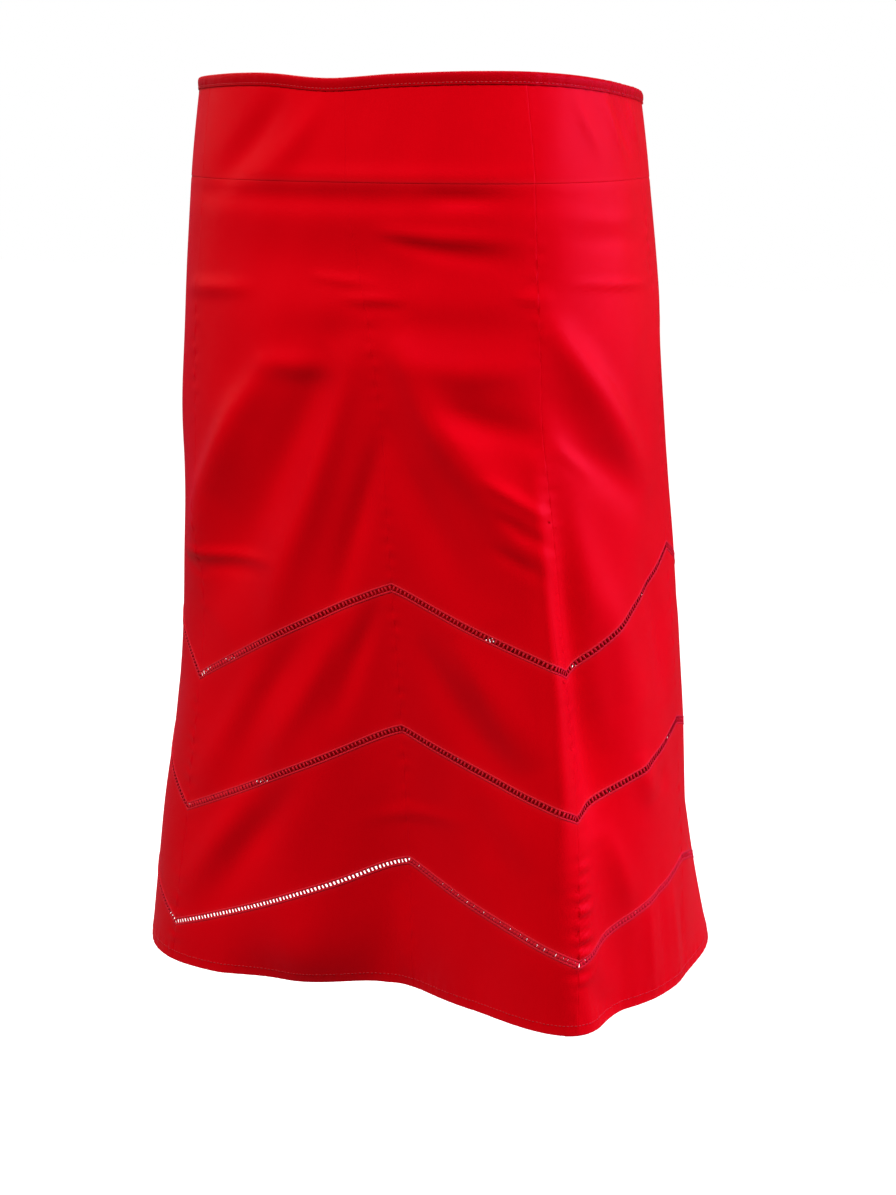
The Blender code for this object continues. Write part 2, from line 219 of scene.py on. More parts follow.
# Drop of each openwork band's middle where it crosses each seam
Band = namedtuple(
    "Band",
    "name front left_princess left_side left_back back right_back right_side right_princess")
BANDS = (
    Band("openwork_1", 0.318, 0.368, 0.304, 0.372, 0.318, 0.372, 0.316, 0.395),
    Band("openwork_2", 0.414, 0.461, 0.424, 0.466, 0.414, 0.466, 0.416, 0.488),
    Band("openwork_3", 0.507, 0.554, 0.518, 0.556, 0.507, 0.556, 0.512, 0.572),
)
BAND_ARCH = (0.004, 0.002, 0.004, 0.004, 0.004, 0.004, 0.006, 0.008)

# Creases, given one by one: height out of the cloth (a minus is a hollow), half width where it starts
# and ends, and the places that it runs through, as degrees and drop
Crease = namedtuple("Crease", "name height width end_width places")
CREASES = (
    Crease("yoke, slack on the right", -0.0030, 0.010, 0.012,
           ((-20, 0.012), (-34, 0.045), (-46, 0.070))),
    Crease("yoke, lifted beside the slack", 0.0020, 0.009, 0.011,
           ((-6, 0.014), (-18, 0.045), (-30, 0.064))),
    Crease("yoke, pull 1", 0.0012, 0.0045, 0.005, ((66, 0.014), (73, 0.048))),
    Crease("yoke, pull 2", 0.0013, 0.0040, 0.005, ((76, 0.012), (84, 0.050))),
    Crease("yoke, pull 3", -0.0014, 0.0050, 0.006, ((80, 0.012), (90, 0.052))),
    Crease("yoke, pull 4", 0.0012, 0.0040, 0.005, ((90, 0.014), (96, 0.045))),
    Crease("yoke, edge lifted over the seam", 0.0014, 0.0065, 0.006,
           ((-34, 0.0610), (10, 0.0610), (56, 0.0605))),
    Crease("under the yoke seam", -0.0018, 0.0070, 0.008,
           ((-62, 0.0725), (-26, 0.0742), (14, 0.0750), (62, 0.0730))),
    Crease("slack under the yoke seam", -0.0046, 0.026, 0.025,
           ((-52, 0.108), (-18, 0.112), (20, 0.114), (60, 0.110))),
    Crease("notch under the yoke seam", -0.0016, 0.0050, 0.005, ((26, 0.0725), (46, 0.0735))),
    Crease("front, short fold", 0.0018, 0.0038, 0.006, ((12, 0.0930), (30, 0.0965), (50, 0.0985))),
    Crease("front, short fold's shade", -0.0016, 0.0036, 0.0078,
           ((14, 0.0990), (30, 0.1050), (50, 0.1110))),
    Crease("front, thin wrinkle 1", 0.0011, 0.0028, 0.003, ((-11, 0.1216), (11, 0.1256))),
    Crease("front, thin wrinkle 2", 0.0011, 0.0028, 0.003, ((0, 0.1348), (20, 0.1347))),
    Crease("front, thin wrinkle 3", -0.0008, 0.0040, 0.004, ((2, 0.1400), (22, 0.1400))),
    Crease("left hip, nick", 0.0013, 0.0026, 0.0026, ((48, 0.1322), (58, 0.1342))),
    Crease("left hip, fine crease", 0.0010, 0.0022, 0.0022, ((62, 0.1245), (94, 0.1303))),
    Crease("left hip, wrinkle 1", 0.0005, 0.0045, 0.005, ((60, 0.084), (78, 0.088), (92, 0.086))),
    Crease("left hip, wrinkle 2", -0.0005, 0.0050, 0.005, ((62, 0.098), (92, 0.102))),
    Crease("right hip, lifted spot", 0.0019, 0.0055, 0.005, ((-58, 0.1345), (-30, 0.1308))),
    Crease("front, level hollow", -0.0024, 0.012, 0.011, ((-20, 0.158), (18, 0.150), (52, 0.151))),
    Crease("front, level ridge", 0.0030, 0.009, 0.012, ((18, 0.172), (36, 0.178), (53, 0.177))),
    Crease("right hip, level ridge", 0.0026, 0.007, 0.009, ((-28, 0.1775), (-13, 0.178), (0, 0.177))),
    Crease("right hip, long hollow", -0.0088, 0.014, 0.024,
           ((-3, 0.166), (-20, 0.235), (-33, 0.290), (-46, 0.352))),
    Crease("right hip, ridge beyond it", 0.0080, 0.012, 0.016,
           ((-22, 0.176), (-34, 0.212), (-47, 0.265), (-56, 0.320))),
    Crease("front, ridge right of centre", 0.0052, 0.010, 0.015,
           ((3, 0.180), (-9, 0.250), (-19, 0.304), (-28, 0.360))),
    Crease("front, hollow at the centre", -0.0052, 0.009, 0.012, ((13, 0.218), (1, 0.288), (-7, 0.340))),
    Crease("front, long ridge", 0.0070, 0.013, 0.015,
           ((17, 0.158), (31, 0.216), (41, 0.250), (52, 0.296))),
    Crease("front, hollow above the ridge", -0.0036, 0.009, 0.012,
           ((27, 0.197), (42, 0.211), (55, 0.220))),
    Crease("front, long hollow", -0.0046, 0.013, 0.018,
           ((13, 0.200), (20, 0.244), (29, 0.286), (40, 0.335))),
    Crease("princess seam, crest beside it", 0.0050, 0.0062, 0.0056,
           ((51.6, 0.232), (52.4, 0.319), (53.2, 0.383), (53.0, 0.447), (51.5, 0.50))),
    Crease("princess seam, hollow beyond it", -0.0072, 0.0092, 0.0125,
           ((56.6, 0.256), (57.6, 0.320), (59.4, 0.378), (60.4, 0.437), (60.8, 0.50))),
    Crease("princess seam, pinch 1", 0.0022, 0.0036, 0.004, ((40, 0.242), (47, 0.255), (54, 0.270))),
    Crease("princess seam, pinch 2", -0.0024, 0.0042, 0.005, ((43, 0.264), (49, 0.278), (54, 0.288))),
    Crease("princess seam, pinch 3", -0.0016, 0.0042, 0.005, ((42, 0.286), (48, 0.298), (53, 0.308))),
    Crease("princess seam, pinch 4", 0.0014, 0.0036, 0.004, ((56, 0.222), (62, 0.236), (66, 0.247))),
    Crease("left side, long ridge", 0.0056, 0.010, 0.013,
           ((55, 0.144), (65, 0.180), (73, 0.211), (84, 0.256))),
    Crease("left side, long hollow", -0.0038, 0.012, 0.013, ((55, 0.186), (64, 0.227), (81, 0.266))),
    Crease("left side, second ridge", 0.0044, 0.013, 0.018,
           ((58, 0.258), (65, 0.316), (71.5, 0.352), (75, 0.393), (73.5, 0.436))),
    Crease("left side, second hollow", -0.0030, 0.012, 0.012, ((82, 0.300), (88, 0.350), (90, 0.410))),
    Crease("right side, small fold", 0.0020, 0.0036, 0.0036,
           ((-60, 0.3135), (-40, 0.308), (-24, 0.307))),
    Crease("right side, small fold's shade", -0.0010, 0.0048, 0.005,
           ((-60, 0.322), (-40, 0.317), (-28, 0.316))),
    Crease("right, hollow below the first band", -0.0034, 0.008, 0.011,
           ((9, 0.328), (-1, 0.369), (-10, 0.417))),
    Crease("right, ridge below the first band", 0.0030, 0.008, 0.011,
           ((-6, 0.350), (-17, 0.398), (-28, 0.444))),
    Crease("right, second hollow below the band", -0.0032, 0.009, 0.012,
           ((-14, 0.350), (-29, 0.401), (-39, 0.450))),
    Crease("right, second ridge below the band", 0.0036, 0.011, 0.013,
           ((-27, 0.372), (-40, 0.434), (-48, 0.476))),
    Crease("front, ridge below the first band", 0.0046, 0.011, 0.013,
           ((33, 0.346), (42, 0.388), (49, 0.428))),
    Crease("front, hollow below the first band", -0.0028, 0.010, 0.013,
           ((21, 0.349), (35, 0.407), (46, 0.444))),
    Crease("right, hollow below the second band", -0.0042, 0.010, 0.014,
           ((-18, 0.452), (-34, 0.508), (-45, 0.558))),
    Crease("right, ridge below the second band", 0.0044, 0.010, 0.013,
           ((-31, 0.462), (-42, 0.513), (-49, 0.554))),
    Crease("front, slack over the third band", 0.0010, 0.0050, 0.005,
           ((0, 0.479), (17, 0.472), (34, 0.470))),
    Crease("front, hollow over the third band", -0.0024, 0.011, 0.013,
           ((36, 0.452), (43, 0.500), (46, 0.545))),
    Crease("princess seam, hollow below the band", -0.0050, 0.0105, 0.0135,
           ((60.5, 0.378), (63.5, 0.425), (63.0, 0.478))),
    Crease("left side, tuck by the seam", -0.0036, 0.0100, 0.012,
           ((61, 0.478), (62.5, 0.540), (62, 0.580))),
    Crease("left side, lifted spot", 0.0028, 0.0080, 0.008, ((75, 0.428), (79, 0.466))),
    Crease("left side, spot's shade", -0.0014, 0.0070, 0.008, ((84, 0.440), (86, 0.466))),
    Crease("left side, small ridge", 0.0024, 0.0065, 0.008, ((66, 0.478), (71, 0.530))),
    Crease("left side, streak 1", 0.0013, 0.0042, 0.004, ((76, 0.525), (76.5, 0.598))),
    Crease("left side, streak 2", -0.0013, 0.0045, 0.005, ((80.5, 0.515), (81.5, 0.599))),
    Crease("left side, streak 3", 0.0013, 0.0042, 0.005, ((86, 0.530), (87, 0.598))),
    Crease("left side, streak 4", -0.0012, 0.0042, 0.005, ((91, 0.540), (91.5, 0.598))),
    Crease("hem, tuck by the seam", -0.0030, 0.0090, 0.010, ((57, 0.563), (63, 0.602))),
    Crease("hem, turned under on the right", -0.0150, 0.030, 0.034,
           ((-40, 0.612), (-14, 0.618), (6, 0.616))),
    Crease("hem, lifted at the centre", 0.0020, 0.012, 0.014, ((10, 0.530), (16, 0.602))),
    Crease("left back, hip wrinkle", 0.0018, 0.0045, 0.006, ((122, 0.146), (132, 0.152), (142, 0.149))),
    Crease("left back, wrinkle's shade", -0.0020, 0.0050, 0.007,
           ((123, 0.157), (133, 0.163), (141, 0.162))),
    Crease("left back, long hollow", -0.0056, 0.014, 0.016, ((106, 0.160), (118, 0.250), (112, 0.340))),
    Crease("left back, long ridge", 0.0044, 0.011, 0.014, ((126, 0.150), (134, 0.240), (128, 0.350))),
    Crease("left back, lower hollow", -0.0044, 0.012, 0.014, ((124, 0.360), (112, 0.450), (104, 0.540))),
    Crease("left back, lower ridge", 0.0036, 0.010, 0.013, ((132, 0.380), (124, 0.460), (120, 0.560))),
    Crease("back, short fold 1", -0.0020, 0.0042, 0.006, ((150, 0.094), (166, 0.100), (176, 0.099))),
    Crease("back, short fold 2", 0.0014, 0.0038, 0.005, ((186, 0.108), (204, 0.104), (216, 0.106))),
    Crease("back, thin wrinkle", 0.0011, 0.0028, 0.003, ((140, 0.128), (158, 0.132))),
    Crease("back, seat sag 1", -0.0034, 0.011, 0.012, ((184, 0.205), (206, 0.225), (226, 0.215))),
    Crease("back, seat sag 2", -0.0030, 0.010, 0.011, ((134, 0.215), (152, 0.230), (174, 0.208))),
    Crease("back, seat ridge", 0.0024, 0.009, 0.010, ((186, 0.182), (204, 0.192), (222, 0.188))),
    Crease("back, left hollow", -0.0050, 0.012, 0.016, ((176, 0.230), (160, 0.310), (146, 0.400))),
    Crease("back, left ridge", 0.0044, 0.010, 0.014, ((182, 0.300), (170, 0.380), (160, 0.460))),
    Crease("back, right hollow", -0.0052, 0.012, 0.016, ((188, 0.240), (202, 0.330), (212, 0.430))),
    Crease("back, right ridge", 0.0044, 0.011, 0.014, ((206, 0.230), (218, 0.320), (226, 0.420))),
    Crease("back, hem hollow 1", -0.0036, 0.011, 0.014, ((152, 0.450), (144, 0.530), (138, 0.600))),
    Crease("back, hem hollow 2", -0.0038, 0.012, 0.014, ((204, 0.440), (210, 0.520), (214, 0.600))),
    Crease("back, hem ridge", 0.0026, 0.011, 0.013, ((190, 0.470), (196, 0.540), (198, 0.600))),
    Crease("right back, hollow", -0.0052, 0.012, 0.015, ((236, 0.240), (246, 0.350), (250, 0.470))),
    Crease("right side, ridge", 0.0042, 0.011, 0.014, ((252, 0.180), (262, 0.280), (266, 0.400))),
    Crease("right side, hollow", -0.0048, 0.012, 0.015, ((276, 0.200), (284, 0.290), (290, 0.400))),
    Crease("right side, hem hollow", -0.0040, 0.012, 0.014, ((262, 0.440), (268, 0.520), (270, 0.600))),
    Crease("right side, hip wrinkle", 0.0018, 0.0045, 0.006, ((252, 0.140), (266, 0.146), (282, 0.142))),
    Crease("right side, wrinkle's shade", -0.0020, 0.0050, 0.007,
           ((254, 0.151), (268, 0.158), (280, 0.154))),
    Crease("right side, drag from the hip", -0.0036, 0.009, 0.013,
           ((272, 0.175), (266, 0.240), (256, 0.310))),
    Crease("right side, ridge under the band", 0.0036, 0.010, 0.014,
           ((270, 0.340), (280, 0.410), (284, 0.480))),
    Crease("right side, hollow under the band", -0.0034, 0.010, 0.013,
           ((258, 0.350), (264, 0.410), (268, 0.440))),
    Crease("back yoke, pull 1", 0.0013, 0.0045, 0.005, ((168, 0.030), (158, 0.060))),
    Crease("back yoke, pull 2", 0.0013, 0.0045, 0.005, ((192, 0.030), (204, 0.062))),
    Crease("back, under the yoke seam", -0.0018, 0.0055, 0.005, ((130, 0.0800), (176, 0.0840))),
    Crease("back, under the yoke seam, right", -0.0018, 0.0055, 0.005, ((184, 0.0840), (232, 0.0790))),
    Crease("right yoke, slack", -0.0022, 0.008, 0.009, ((262, 0.020), (274, 0.050), (284, 0.066))),
)

# The waist's edge sways up and down a little: degrees, drop and half width in degrees
Sway = namedtuple("Sway", "angle drop half_width")
WAIST_SWAYS = (
    Sway(-33, -0.0018, 30), Sway(-6, 0.0016, 24), Sway(44, -0.0024, 46), Sway(150, 0.0012, 40),
    Sway(214, -0.0014, 34), Sway(262, 0.0012, 30),
)

# Puckers beside a seam: how high they stand, where they are strongest, as drops, and how far beyond
# the seam they lie
Pucker = namedtuple("Pucker", "seam height start end aside", defaults=(0.0,))
PUCKERS = (
    Pucker(0, 0.00022, 0.07, 0.60), Pucker(0, 0.00050, 0.32, 0.41),
    Pucker(1, 0.00030, 0.07, 0.60), Pucker(1, 0.00085, 0.46, 0.58, 0.0045),
    Pucker(1, 0.00030, 0.02, 0.10), Pucker(2, 0.00030, 0.07, 0.60), Pucker(3, 0.00030, 0.07, 0.60),
    Pucker(4, 0.00040, 0.02, 0.60), Pucker(5, 0.00030, 0.07, 0.60), Pucker(6, 0.00032, 0.07, 0.60),
    Pucker(7, 0.00032, 0.10, 0.60),
)
PUCKER_SPREAD = 0.0052
PUCKER_FADE = 0.03
PUCKER_RIPPLES = (690, 431)
PUCKER_SWELL = 47
CREASE_END = 0.05

# Waves that unsettle hanging cloth: their height, waves round the skirt, slant and start, in radians
Wave = namedtuple("Wave", "height around down start")
SLACK_WAVES = (
    Wave(0.0008, 3, 21, 0.0), Wave(0.00064, 5, -13, 1.9),
    Wave(0.00035, 11, 38, 0.7), Wave(0.00028, 14, -47, 2.6),
)
SLACK_RUN = (0.06, 0.25)
FINE_WAVES = (Wave(0.00012, 23, 70, 0.0),)
HEM_RIPPLE = 0.00024
HEM_RIPPLE_UP = 0.0065
HEM_RIPPLE_SPREAD = 0.006
HEM_RIPPLE_TURNS = (137, 211, 9)

# Woven finishes: threads to a metre, the height of the weave, and how much sheen the cloth has
Weave = namedtuple("Weave", "threads bump sheen")
SATEEN = Weave(2200.0, 0.00006, 0.09)
BINDING_SATEEN = Weave(2200.0, 0.00008, 0.09)
LADDER_COTTON = Weave(1500.0, 0.00016, 0.16)
TAPE_COTTON = Weave(1300.0, 0.00014, 0.15)
# The binding's cloth is painted darker than the skirt's: painted shade along the waist
BINDING_PAINTED_SHADE = 0.72
CLOTH_GLOSS = 0.12
CLOTH_GLOSS_TINT = (1.0, 0.04, 0.30, 1.0)
CLOTH_SHEEN_TINT = (1.0, 0.02, 0.26, 1.0)
# A pale pink that rubbed cloth turns towards; at the cloth's edges it is also a painted highlight
RUBBED_AND_HIGHLIGHT_PINK = (0.95, 0.20, 0.26)
ENAMEL_RUBBED = (0.66, 0.06, 0.06, 1.0)

# Soft square lights, aimed at the skirt's middle: degrees round and up, metres, watts and colour
Light = namedtuple("Light", "name azimuth elevation distance width watts colour")
LIGHTS = (
    Light("above", 14, 54, 3.4, 1.1, 92, (1.0, 0.90, 0.70)),
    Light("left", -52, 26, 3.2, 0.9, 22, (1.0, 0.42, 0.36)),
    Light("right", 110, 16, 3.0, 0.9, 75, (1.0, 0.32, 0.88)),
    Light("back", 222, 44, 3.2, 1.1, 46, (1.0, 0.90, 0.76)),
    Light("back_side", 262, 18, 3.0, 1.2, 8, (1.0, 0.42, 0.36)),
)
LIGHT_AIM = Vector((0.0, 0.0, -0.3))
SKY_LIGHT = 0.13
SKY_SEEN = 1.0

# The floor: how far below the waist it lies, half its width, and its light and tones
FLOOR_DROP = 1.0
FLOOR_HALF = 9.0
FLOOR_GLOW = 0.90
FLOOR_BOUNCE = (0.20, 0.19, 0.19, 1.0)
FLOOR_TONES = ((0.86, 0.86, 0.86, 1.0), (0.90, 0.90, 0.90, 1.0))

# The camera: degrees round and down, and where it stands, in metres
CAMERA_AZIMUTH = 24.0
CAMERA_PITCH = 13.71
CAMERA_DISTANCE = 1.42
CAMERA_ASIDE = 0.0196
CAMERA_HEIGHT = -0.006
FOCAL_PIXELS = 2100.0
PHOTO_HEIGHT = 1195
SENSOR = 36.0


def curve_at(knots, values, at):
    """The values at some places, on a smooth curve through the rows that never overshoots them."""
    knots = np.asarray(knots, float)
    values = np.asarray(values, float)
    steps = np.diff(knots)
    slopes = np.diff(values) / steps
    tangents = [slopes[0]]
    for before, after in zip(slopes, slopes[1:]):
        tangents.append(0.0 if before * after <= 0 else 2 * before * after / (before + after))
    tangents = np.array(tangents + [slopes[-1]])
    at = np.clip(at, knots[0], knots[-1])
    row = np.clip(np.searchsorted(knots, at) - 1, 0, len(steps) - 1)
    part = (at - knots[row]) / steps[row]
    rest = 1 - part
    start = values[row] * (1 + 2 * part) * rest ** 2
    end = values[row + 1] * (3 - 2 * part) * part ** 2
    lean = steps[row] * part * rest * (tangents[row] * rest - tangents[row + 1] * part)
    return start + end + lean


def ease(value, start, end):
    """Rise smoothly from 0 to 1 while the value goes from start to end."""
    part = np.clip((value - start) / (end - start), 0.0, 1.0)
    return part * part * (3 - 2 * part)


def turned(angle):
    """The same angle, between -180 and 180 degrees."""
    return (angle + 180) % 360 - 180


def lobe(off, half_width):
    """A smooth hump, 1 in the middle and 0 at its half width."""
    return 0.5 + 0.5 * np.cos(np.pi * np.clip(np.abs(off) / half_width, 0, 1))


def seam_angle(seam, drop):
    """Degrees round to a seam at each drop."""
    return curve_at(SEAM_DROPS, SEAMS[seam % GORES][1:], drop) + 360 * (seam // GORES)


def gore_angle(gore, drop):
    """Degrees round to each gore number at each drop."""
    gore, drop = np.broadcast_arrays(np.asarray(gore, float), np.asarray(drop, float))
    seam = np.floor(gore).astype(int)
    angle = np.zeros(gore.shape)
    for number in np.unique(seam):
        here = seam == number
        before = seam_angle(number, drop[here])
        after = seam_angle(number + 1, drop[here])
        angle[here] = before + (after - before) * (gore[here] - number)
    return angle


def fold_reach(angle, drop):
    """How far the flare's folds move the cloth out."""
    reach = 0.0
    for fold in FOLDS:
        middle = fold.at_waist + (fold.at_hem - fold.at_waist) * drop / SKIRT_LENGTH
        growth = np.clip((drop - fold.start) / (SKIRT_LENGTH - fold.start), 0, None) ** FOLD_GROWTH
        reach = reach + fold.reach * growth * lobe(turned(angle - middle), fold.half_width)
    return reach


def form_point(angle, drop):
    """Points of the skirt's smooth form."""
    sizes = [curve_at(SEAM_DROPS, column, drop) for column in list(zip(*SECTIONS))[1:]]
    half_width, front, back, squareness, shift = sizes
    sine = np.sin(np.radians(angle))
    cosine = np.cos(np.radians(angle))
    depth = np.where(cosine > 0, front, back)
    oval = np.abs(sine / half_width) ** squareness + np.abs(cosine / depth) ** squareness
    radius = oval ** (-1 / squareness) + fold_reach(angle, drop)
    return np.stack([radius * sine + shift, -radius * cosine, -drop + 0 * angle], axis=-1)


def form_normal(angle, drop):
    """Outward normals of the skirt's smooth form."""
    turn = 0.25
    fall = 0.0005
    low = np.clip(drop, 2 * fall, SKIRT_LENGTH)
    across = form_point(angle + turn, drop) - form_point(angle - turn, drop)
    down = form_point(angle, low) - form_point(angle, low - 2 * fall)
    normal = np.cross(down, across)
    return normal / np.linalg.norm(normal, axis=-1, keepdims=True)


def crease_relief(crease, angle, drop):
    """How far one crease lifts each place."""
    first = crease.places[0][0]
    reach = np.radians(turned(angle - first)) * MEAN_RADIUS
    places = [(math.radians(turned(a - first)) * MEAN_RADIUS, d) for a, d in crease.places]
    lengths = [math.dist(a, b) for a, b in zip(places, places[1:])]
    run = sum(lengths)
    best = np.full(np.shape(angle), 1e9)
    along = np.zeros(np.shape(angle))
    passed = 0.0
    for (ax, ay), (bx, by), length in zip(places, places[1:], lengths):
        part = ((reach - ax) * (bx - ax) + (drop - ay) * (by - ay)) / length ** 2
        part = np.clip(part, 0, 1)
        far = np.hypot(reach - ax - part * (bx - ax), drop - ay - part * (by - ay))
        nearer = far < best
        best = np.where(nearer, far, best)
        along = np.where(nearer, (passed + part * length) / run, along)
        passed += length
    fade = np.sin(np.pi * (CREASE_END + (1 - 2 * CREASE_END) * along))
    width = crease.width + (crease.end_width - crease.width) * along
    return crease.height * fade * np.exp(-(best / width) ** 2)


def pucker_relief(angle, drop):
    """The small ripples that the stitching draws up beside the seams."""
    relief = 0.0
    for pucker in PUCKERS:
        middle = seam_angle(pucker.seam, drop)
        side = np.radians(turned(angle - middle)) * MEAN_RADIUS
        near = np.exp(-((side - pucker.aside) / PUCKER_SPREAD) ** 2)
        short, long = (drop * ripples for ripples in PUCKER_RIPPLES)
        ripple = np.sin(short + pucker.seam) + 0.7 * np.sin(long + 2.1 * pucker.seam + np.sign(side))
        uneven = 0.6 + 0.4 * np.sin(drop * PUCKER_SWELL + 1.7 * pucker.seam)
        starts = ease(drop, pucker.start, pucker.start + PUCKER_FADE)
        ends = ease(-drop, -pucker.end, -pucker.end + PUCKER_FADE)
        relief = relief + pucker.height * near * ripple * uneven * (starts * ends)
    return relief


def wave_relief(waves, angle, drop):
    """How far these waves lift each place."""
    turn = np.radians(angle)
    return sum(
        wave.height * np.sin(wave.around * turn + wave.down * drop + wave.start) for wave in waves)


def slack_relief(angle, drop):
    """The slow unevenness of hanging cloth."""
    below = ease(drop, *SLACK_RUN)
    return below * wave_relief(SLACK_WAVES, angle, drop) + wave_relief(FINE_WAVES, angle, drop)


def hem_relief(angle, drop):
    """The faint ripples over the hem's stitching."""
    near = np.exp(-((SKIRT_LENGTH - drop - HEM_RIPPLE_UP) / HEM_RIPPLE_SPREAD) ** 2)
    first, second, swell = (np.radians(angle) * turns for turns in HEM_RIPPLE_TURNS)
    return HEM_RIPPLE * near * (np.sin(first) + 0.7 * np.sin(second + 1.3) * np.sin(swell))


def relief_at(angle, drop):
    """How far the cloth stands out of the skirt's smooth form."""
    relief = pucker_relief(angle, drop) + slack_relief(angle, drop) + hem_relief(angle, drop)
    for crease in CREASES:
        relief = relief + crease_relief(crease, angle, drop)
    return relief


def lay(angle, drop, depth):
    """Points that lie a depth inside the cloth's face."""
    lift = relief_at(angle, drop) - depth
    return form_point(angle, drop) + form_normal(angle, drop) * lift[..., None]


def degrees_from_front(gore):
    """Degrees from the centre front, on either side, at the waist."""
    return np.abs(turned(gore_angle(gore, 0.0)))


def waist_edge(gore):
    """Drop of the waist's top edge."""
    angle = gore_angle(gore, 0.0)
    drop = BACK_WAIST_DIP * ease(degrees_from_front(gore), *WAIST_DIP_RUN)
    for sway in WAIST_SWAYS:
        drop = drop + sway.drop * lobe(turned(angle - sway.angle), sway.half_width)
    return drop


def yoke_top(gore):
    """Drop of the yoke's raw top, tucked inside the binding."""
    return waist_edge(gore) + YOKE_TOP_TUCK


def yoke_seam(gore):
    """Drop of the yoke's seam."""
    return YOKE_DEPTH + BACK_YOKE_DIP * ease(degrees_from_front(gore), *YOKE_DIP_RUN)


def band_middle(band, gore):
    """Drop of the middle of an openwork band."""
    gore = np.asarray(gore, float)
    seam = np.floor(gore).astype(int)
    part = gore - seam
    drops = np.array(band[1:])
    straight = drops[seam % GORES] + (drops[(seam + 1) % GORES] - drops[seam % GORES]) * part
    return straight - np.array(BAND_ARCH)[seam % GORES] * 4 * part * (1 - part)


def band_top(band):
    """The upper edge of a band, as a drop for every gore number."""
    return lambda gore: band_middle(band, gore) - BAND_DEPTH / 2


def band_foot(band):
    """The lower edge of a band, as a drop for every gore number."""
    return lambda gore: band_middle(band, gore) + BAND_DEPTH / 2


def hem_edge(gore):
    """Drop of the hem."""
    return SKIRT_LENGTH + 0.0 * np.asarray(gore, float)


def turned_edge(allowance, radius):
    """A folded edge as insets from the fold and depths, from the hidden raw edge to the face."""
    hidden = [(allowance, 2 * radius), (allowance / 2, 2 * radius)]
    turns = [math.pi * step / 4 for step in range(5)]
    rolled = [(radius - radius * math.sin(t) - SEAM_LAP, radius + radius * math.cos(t)) for t in turns]
    return hidden + rolled + [(2.4 * radius, 0.0)]


def tucked_edge(allowance, radius):
    """A folded edge that lies a little lower than the edge that it is sewn to."""
    *folded, (inset, _) = turned_edge(allowance, radius)
    tucked = [(reach, depth + SEAM_TUCK) for reach, depth in folded]
    return tucked + [(inset, SEAM_TUCK), (3 * inset, 0.0)]


def raw_edge():
    """An edge that lies flat, hidden by what covers it."""
    return [(0.0, 0.0), (RAW_EDGE, 0.0)]


def spread(near, far, cell, length):
    """The mesh lines from one edge to the other: each is an inset, a share of the length and a depth."""
    count = max(int(round((length - near[-1][0] - far[-1][0]) / cell)), 2)
    lines = [(inset, 0.0, depth) for inset, depth in near]
    for step in range(1, count):
        part = step / count
        lines.append((near[-1][0] * (1 - part) - far[-1][0] * part, part, 0.0))
    lines += [(-inset, 1.0, depth) for inset, depth in reversed(far)]
    return np.array(lines)


def gore_widths(gores, drops):
    """How wide the cloth is between two gore numbers at each drop."""
    steps = np.linspace(*gores, WIDTH_SAMPLES)
    widths = []
    for drop in drops:
        points = form_point(gore_angle(steps, drop), np.full(steps.shape, drop))
        widths.append(np.linalg.norm(np.diff(points, axis=0), axis=1).sum())
    return np.array(widths)


def zip_trim(gore, drop):
    """How far a panel's side edge stands back from its seam, for the concealed zip."""
    if round(gore) % GORES != BACK_SEAM:
        return 0.0 * drop
    below = ease(drop, ZIP_SLIDER_END, ZIP_SLIDER_END + ZIP_SLIDER_RUN)
    channel = ZIP_CHANNEL + (ZIP_LIPS - ZIP_CHANNEL) * below
    return channel / 2 * ease(-drop, -ZIP_END, -ZIP_END + ZIP_END_RUN)


def grid_sheet(name, across, down):
    """A flat grid as a mesh, with the step number of every vertex across and down."""
    sheet = bmesh.new()
    bmesh.ops.create_grid(sheet, x_segments=across - 1, y_segments=down - 1, size=0.5)
    mesh = bpy.data.meshes.new(name)
    sheet.to_mesh(mesh)
    sheet.free()
    flat = read_places(mesh)
    column = np.rint((flat[:, 0] + 0.5) * (across - 1)).astype(int)
    row = np.rint((0.5 - flat[:, 1]) * (down - 1)).astype(int)
    return mesh, column, row


def read_places(mesh):
    """The mesh's vertex places."""
    flat = np.empty(len(mesh.vertices) * 3)
    mesh.vertices.foreach_get("co", flat)
    return flat.reshape(-1, 3)


def set_places(mesh, places):
    """Move the mesh's vertices to these places."""
    mesh.vertices.foreach_set("co", np.ascontiguousarray(places, dtype=np.float32).ravel())
    mesh.update()


def set_cloth_map(mesh, along, drop):
    """A UV map in metres, so that the weave follows the cloth."""
    layer = mesh.uv_layers.new(name="cloth")
    corners = np.empty(len(mesh.loops), dtype=np.int32)
    mesh.loops.foreach_get("vertex_index", corners)
    pairs = np.stack([along, drop], axis=1)[corners]
    layer.data.foreach_set("uv", np.ascontiguousarray(pairs, dtype=np.float32).ravel())


def set_wear_and_highlight(mesh, wear):
    """An attribute, from 0 to 1, for an edge lightened as wear and as a painted highlight."""
    layer = mesh.attributes.new("wear", "FLOAT", "POINT")
    layer.data.foreach_set("value", np.ascontiguousarray(wear, dtype=np.float32))


def finish_piece(name, mesh, material, nodes, body="skirt", wall=None):
    """Make the piece, give it its wall and material, and set it on its body."""
    mesh.materials.clear()
    mesh.materials.append(material)
    mesh.shade_smooth()
    piece = bpy.data.objects.new(name, mesh)
    bpy.context.scene.collection.objects.link(piece)
    if wall:
        solid = piece.modifiers.new("wall", "SOLIDIFY")
        solid.thickness = wall
        solid.offset = -1.0
        solid.use_rim = True
    if nodes:
        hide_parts(*nodes)
    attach(piece, body)
    return piece


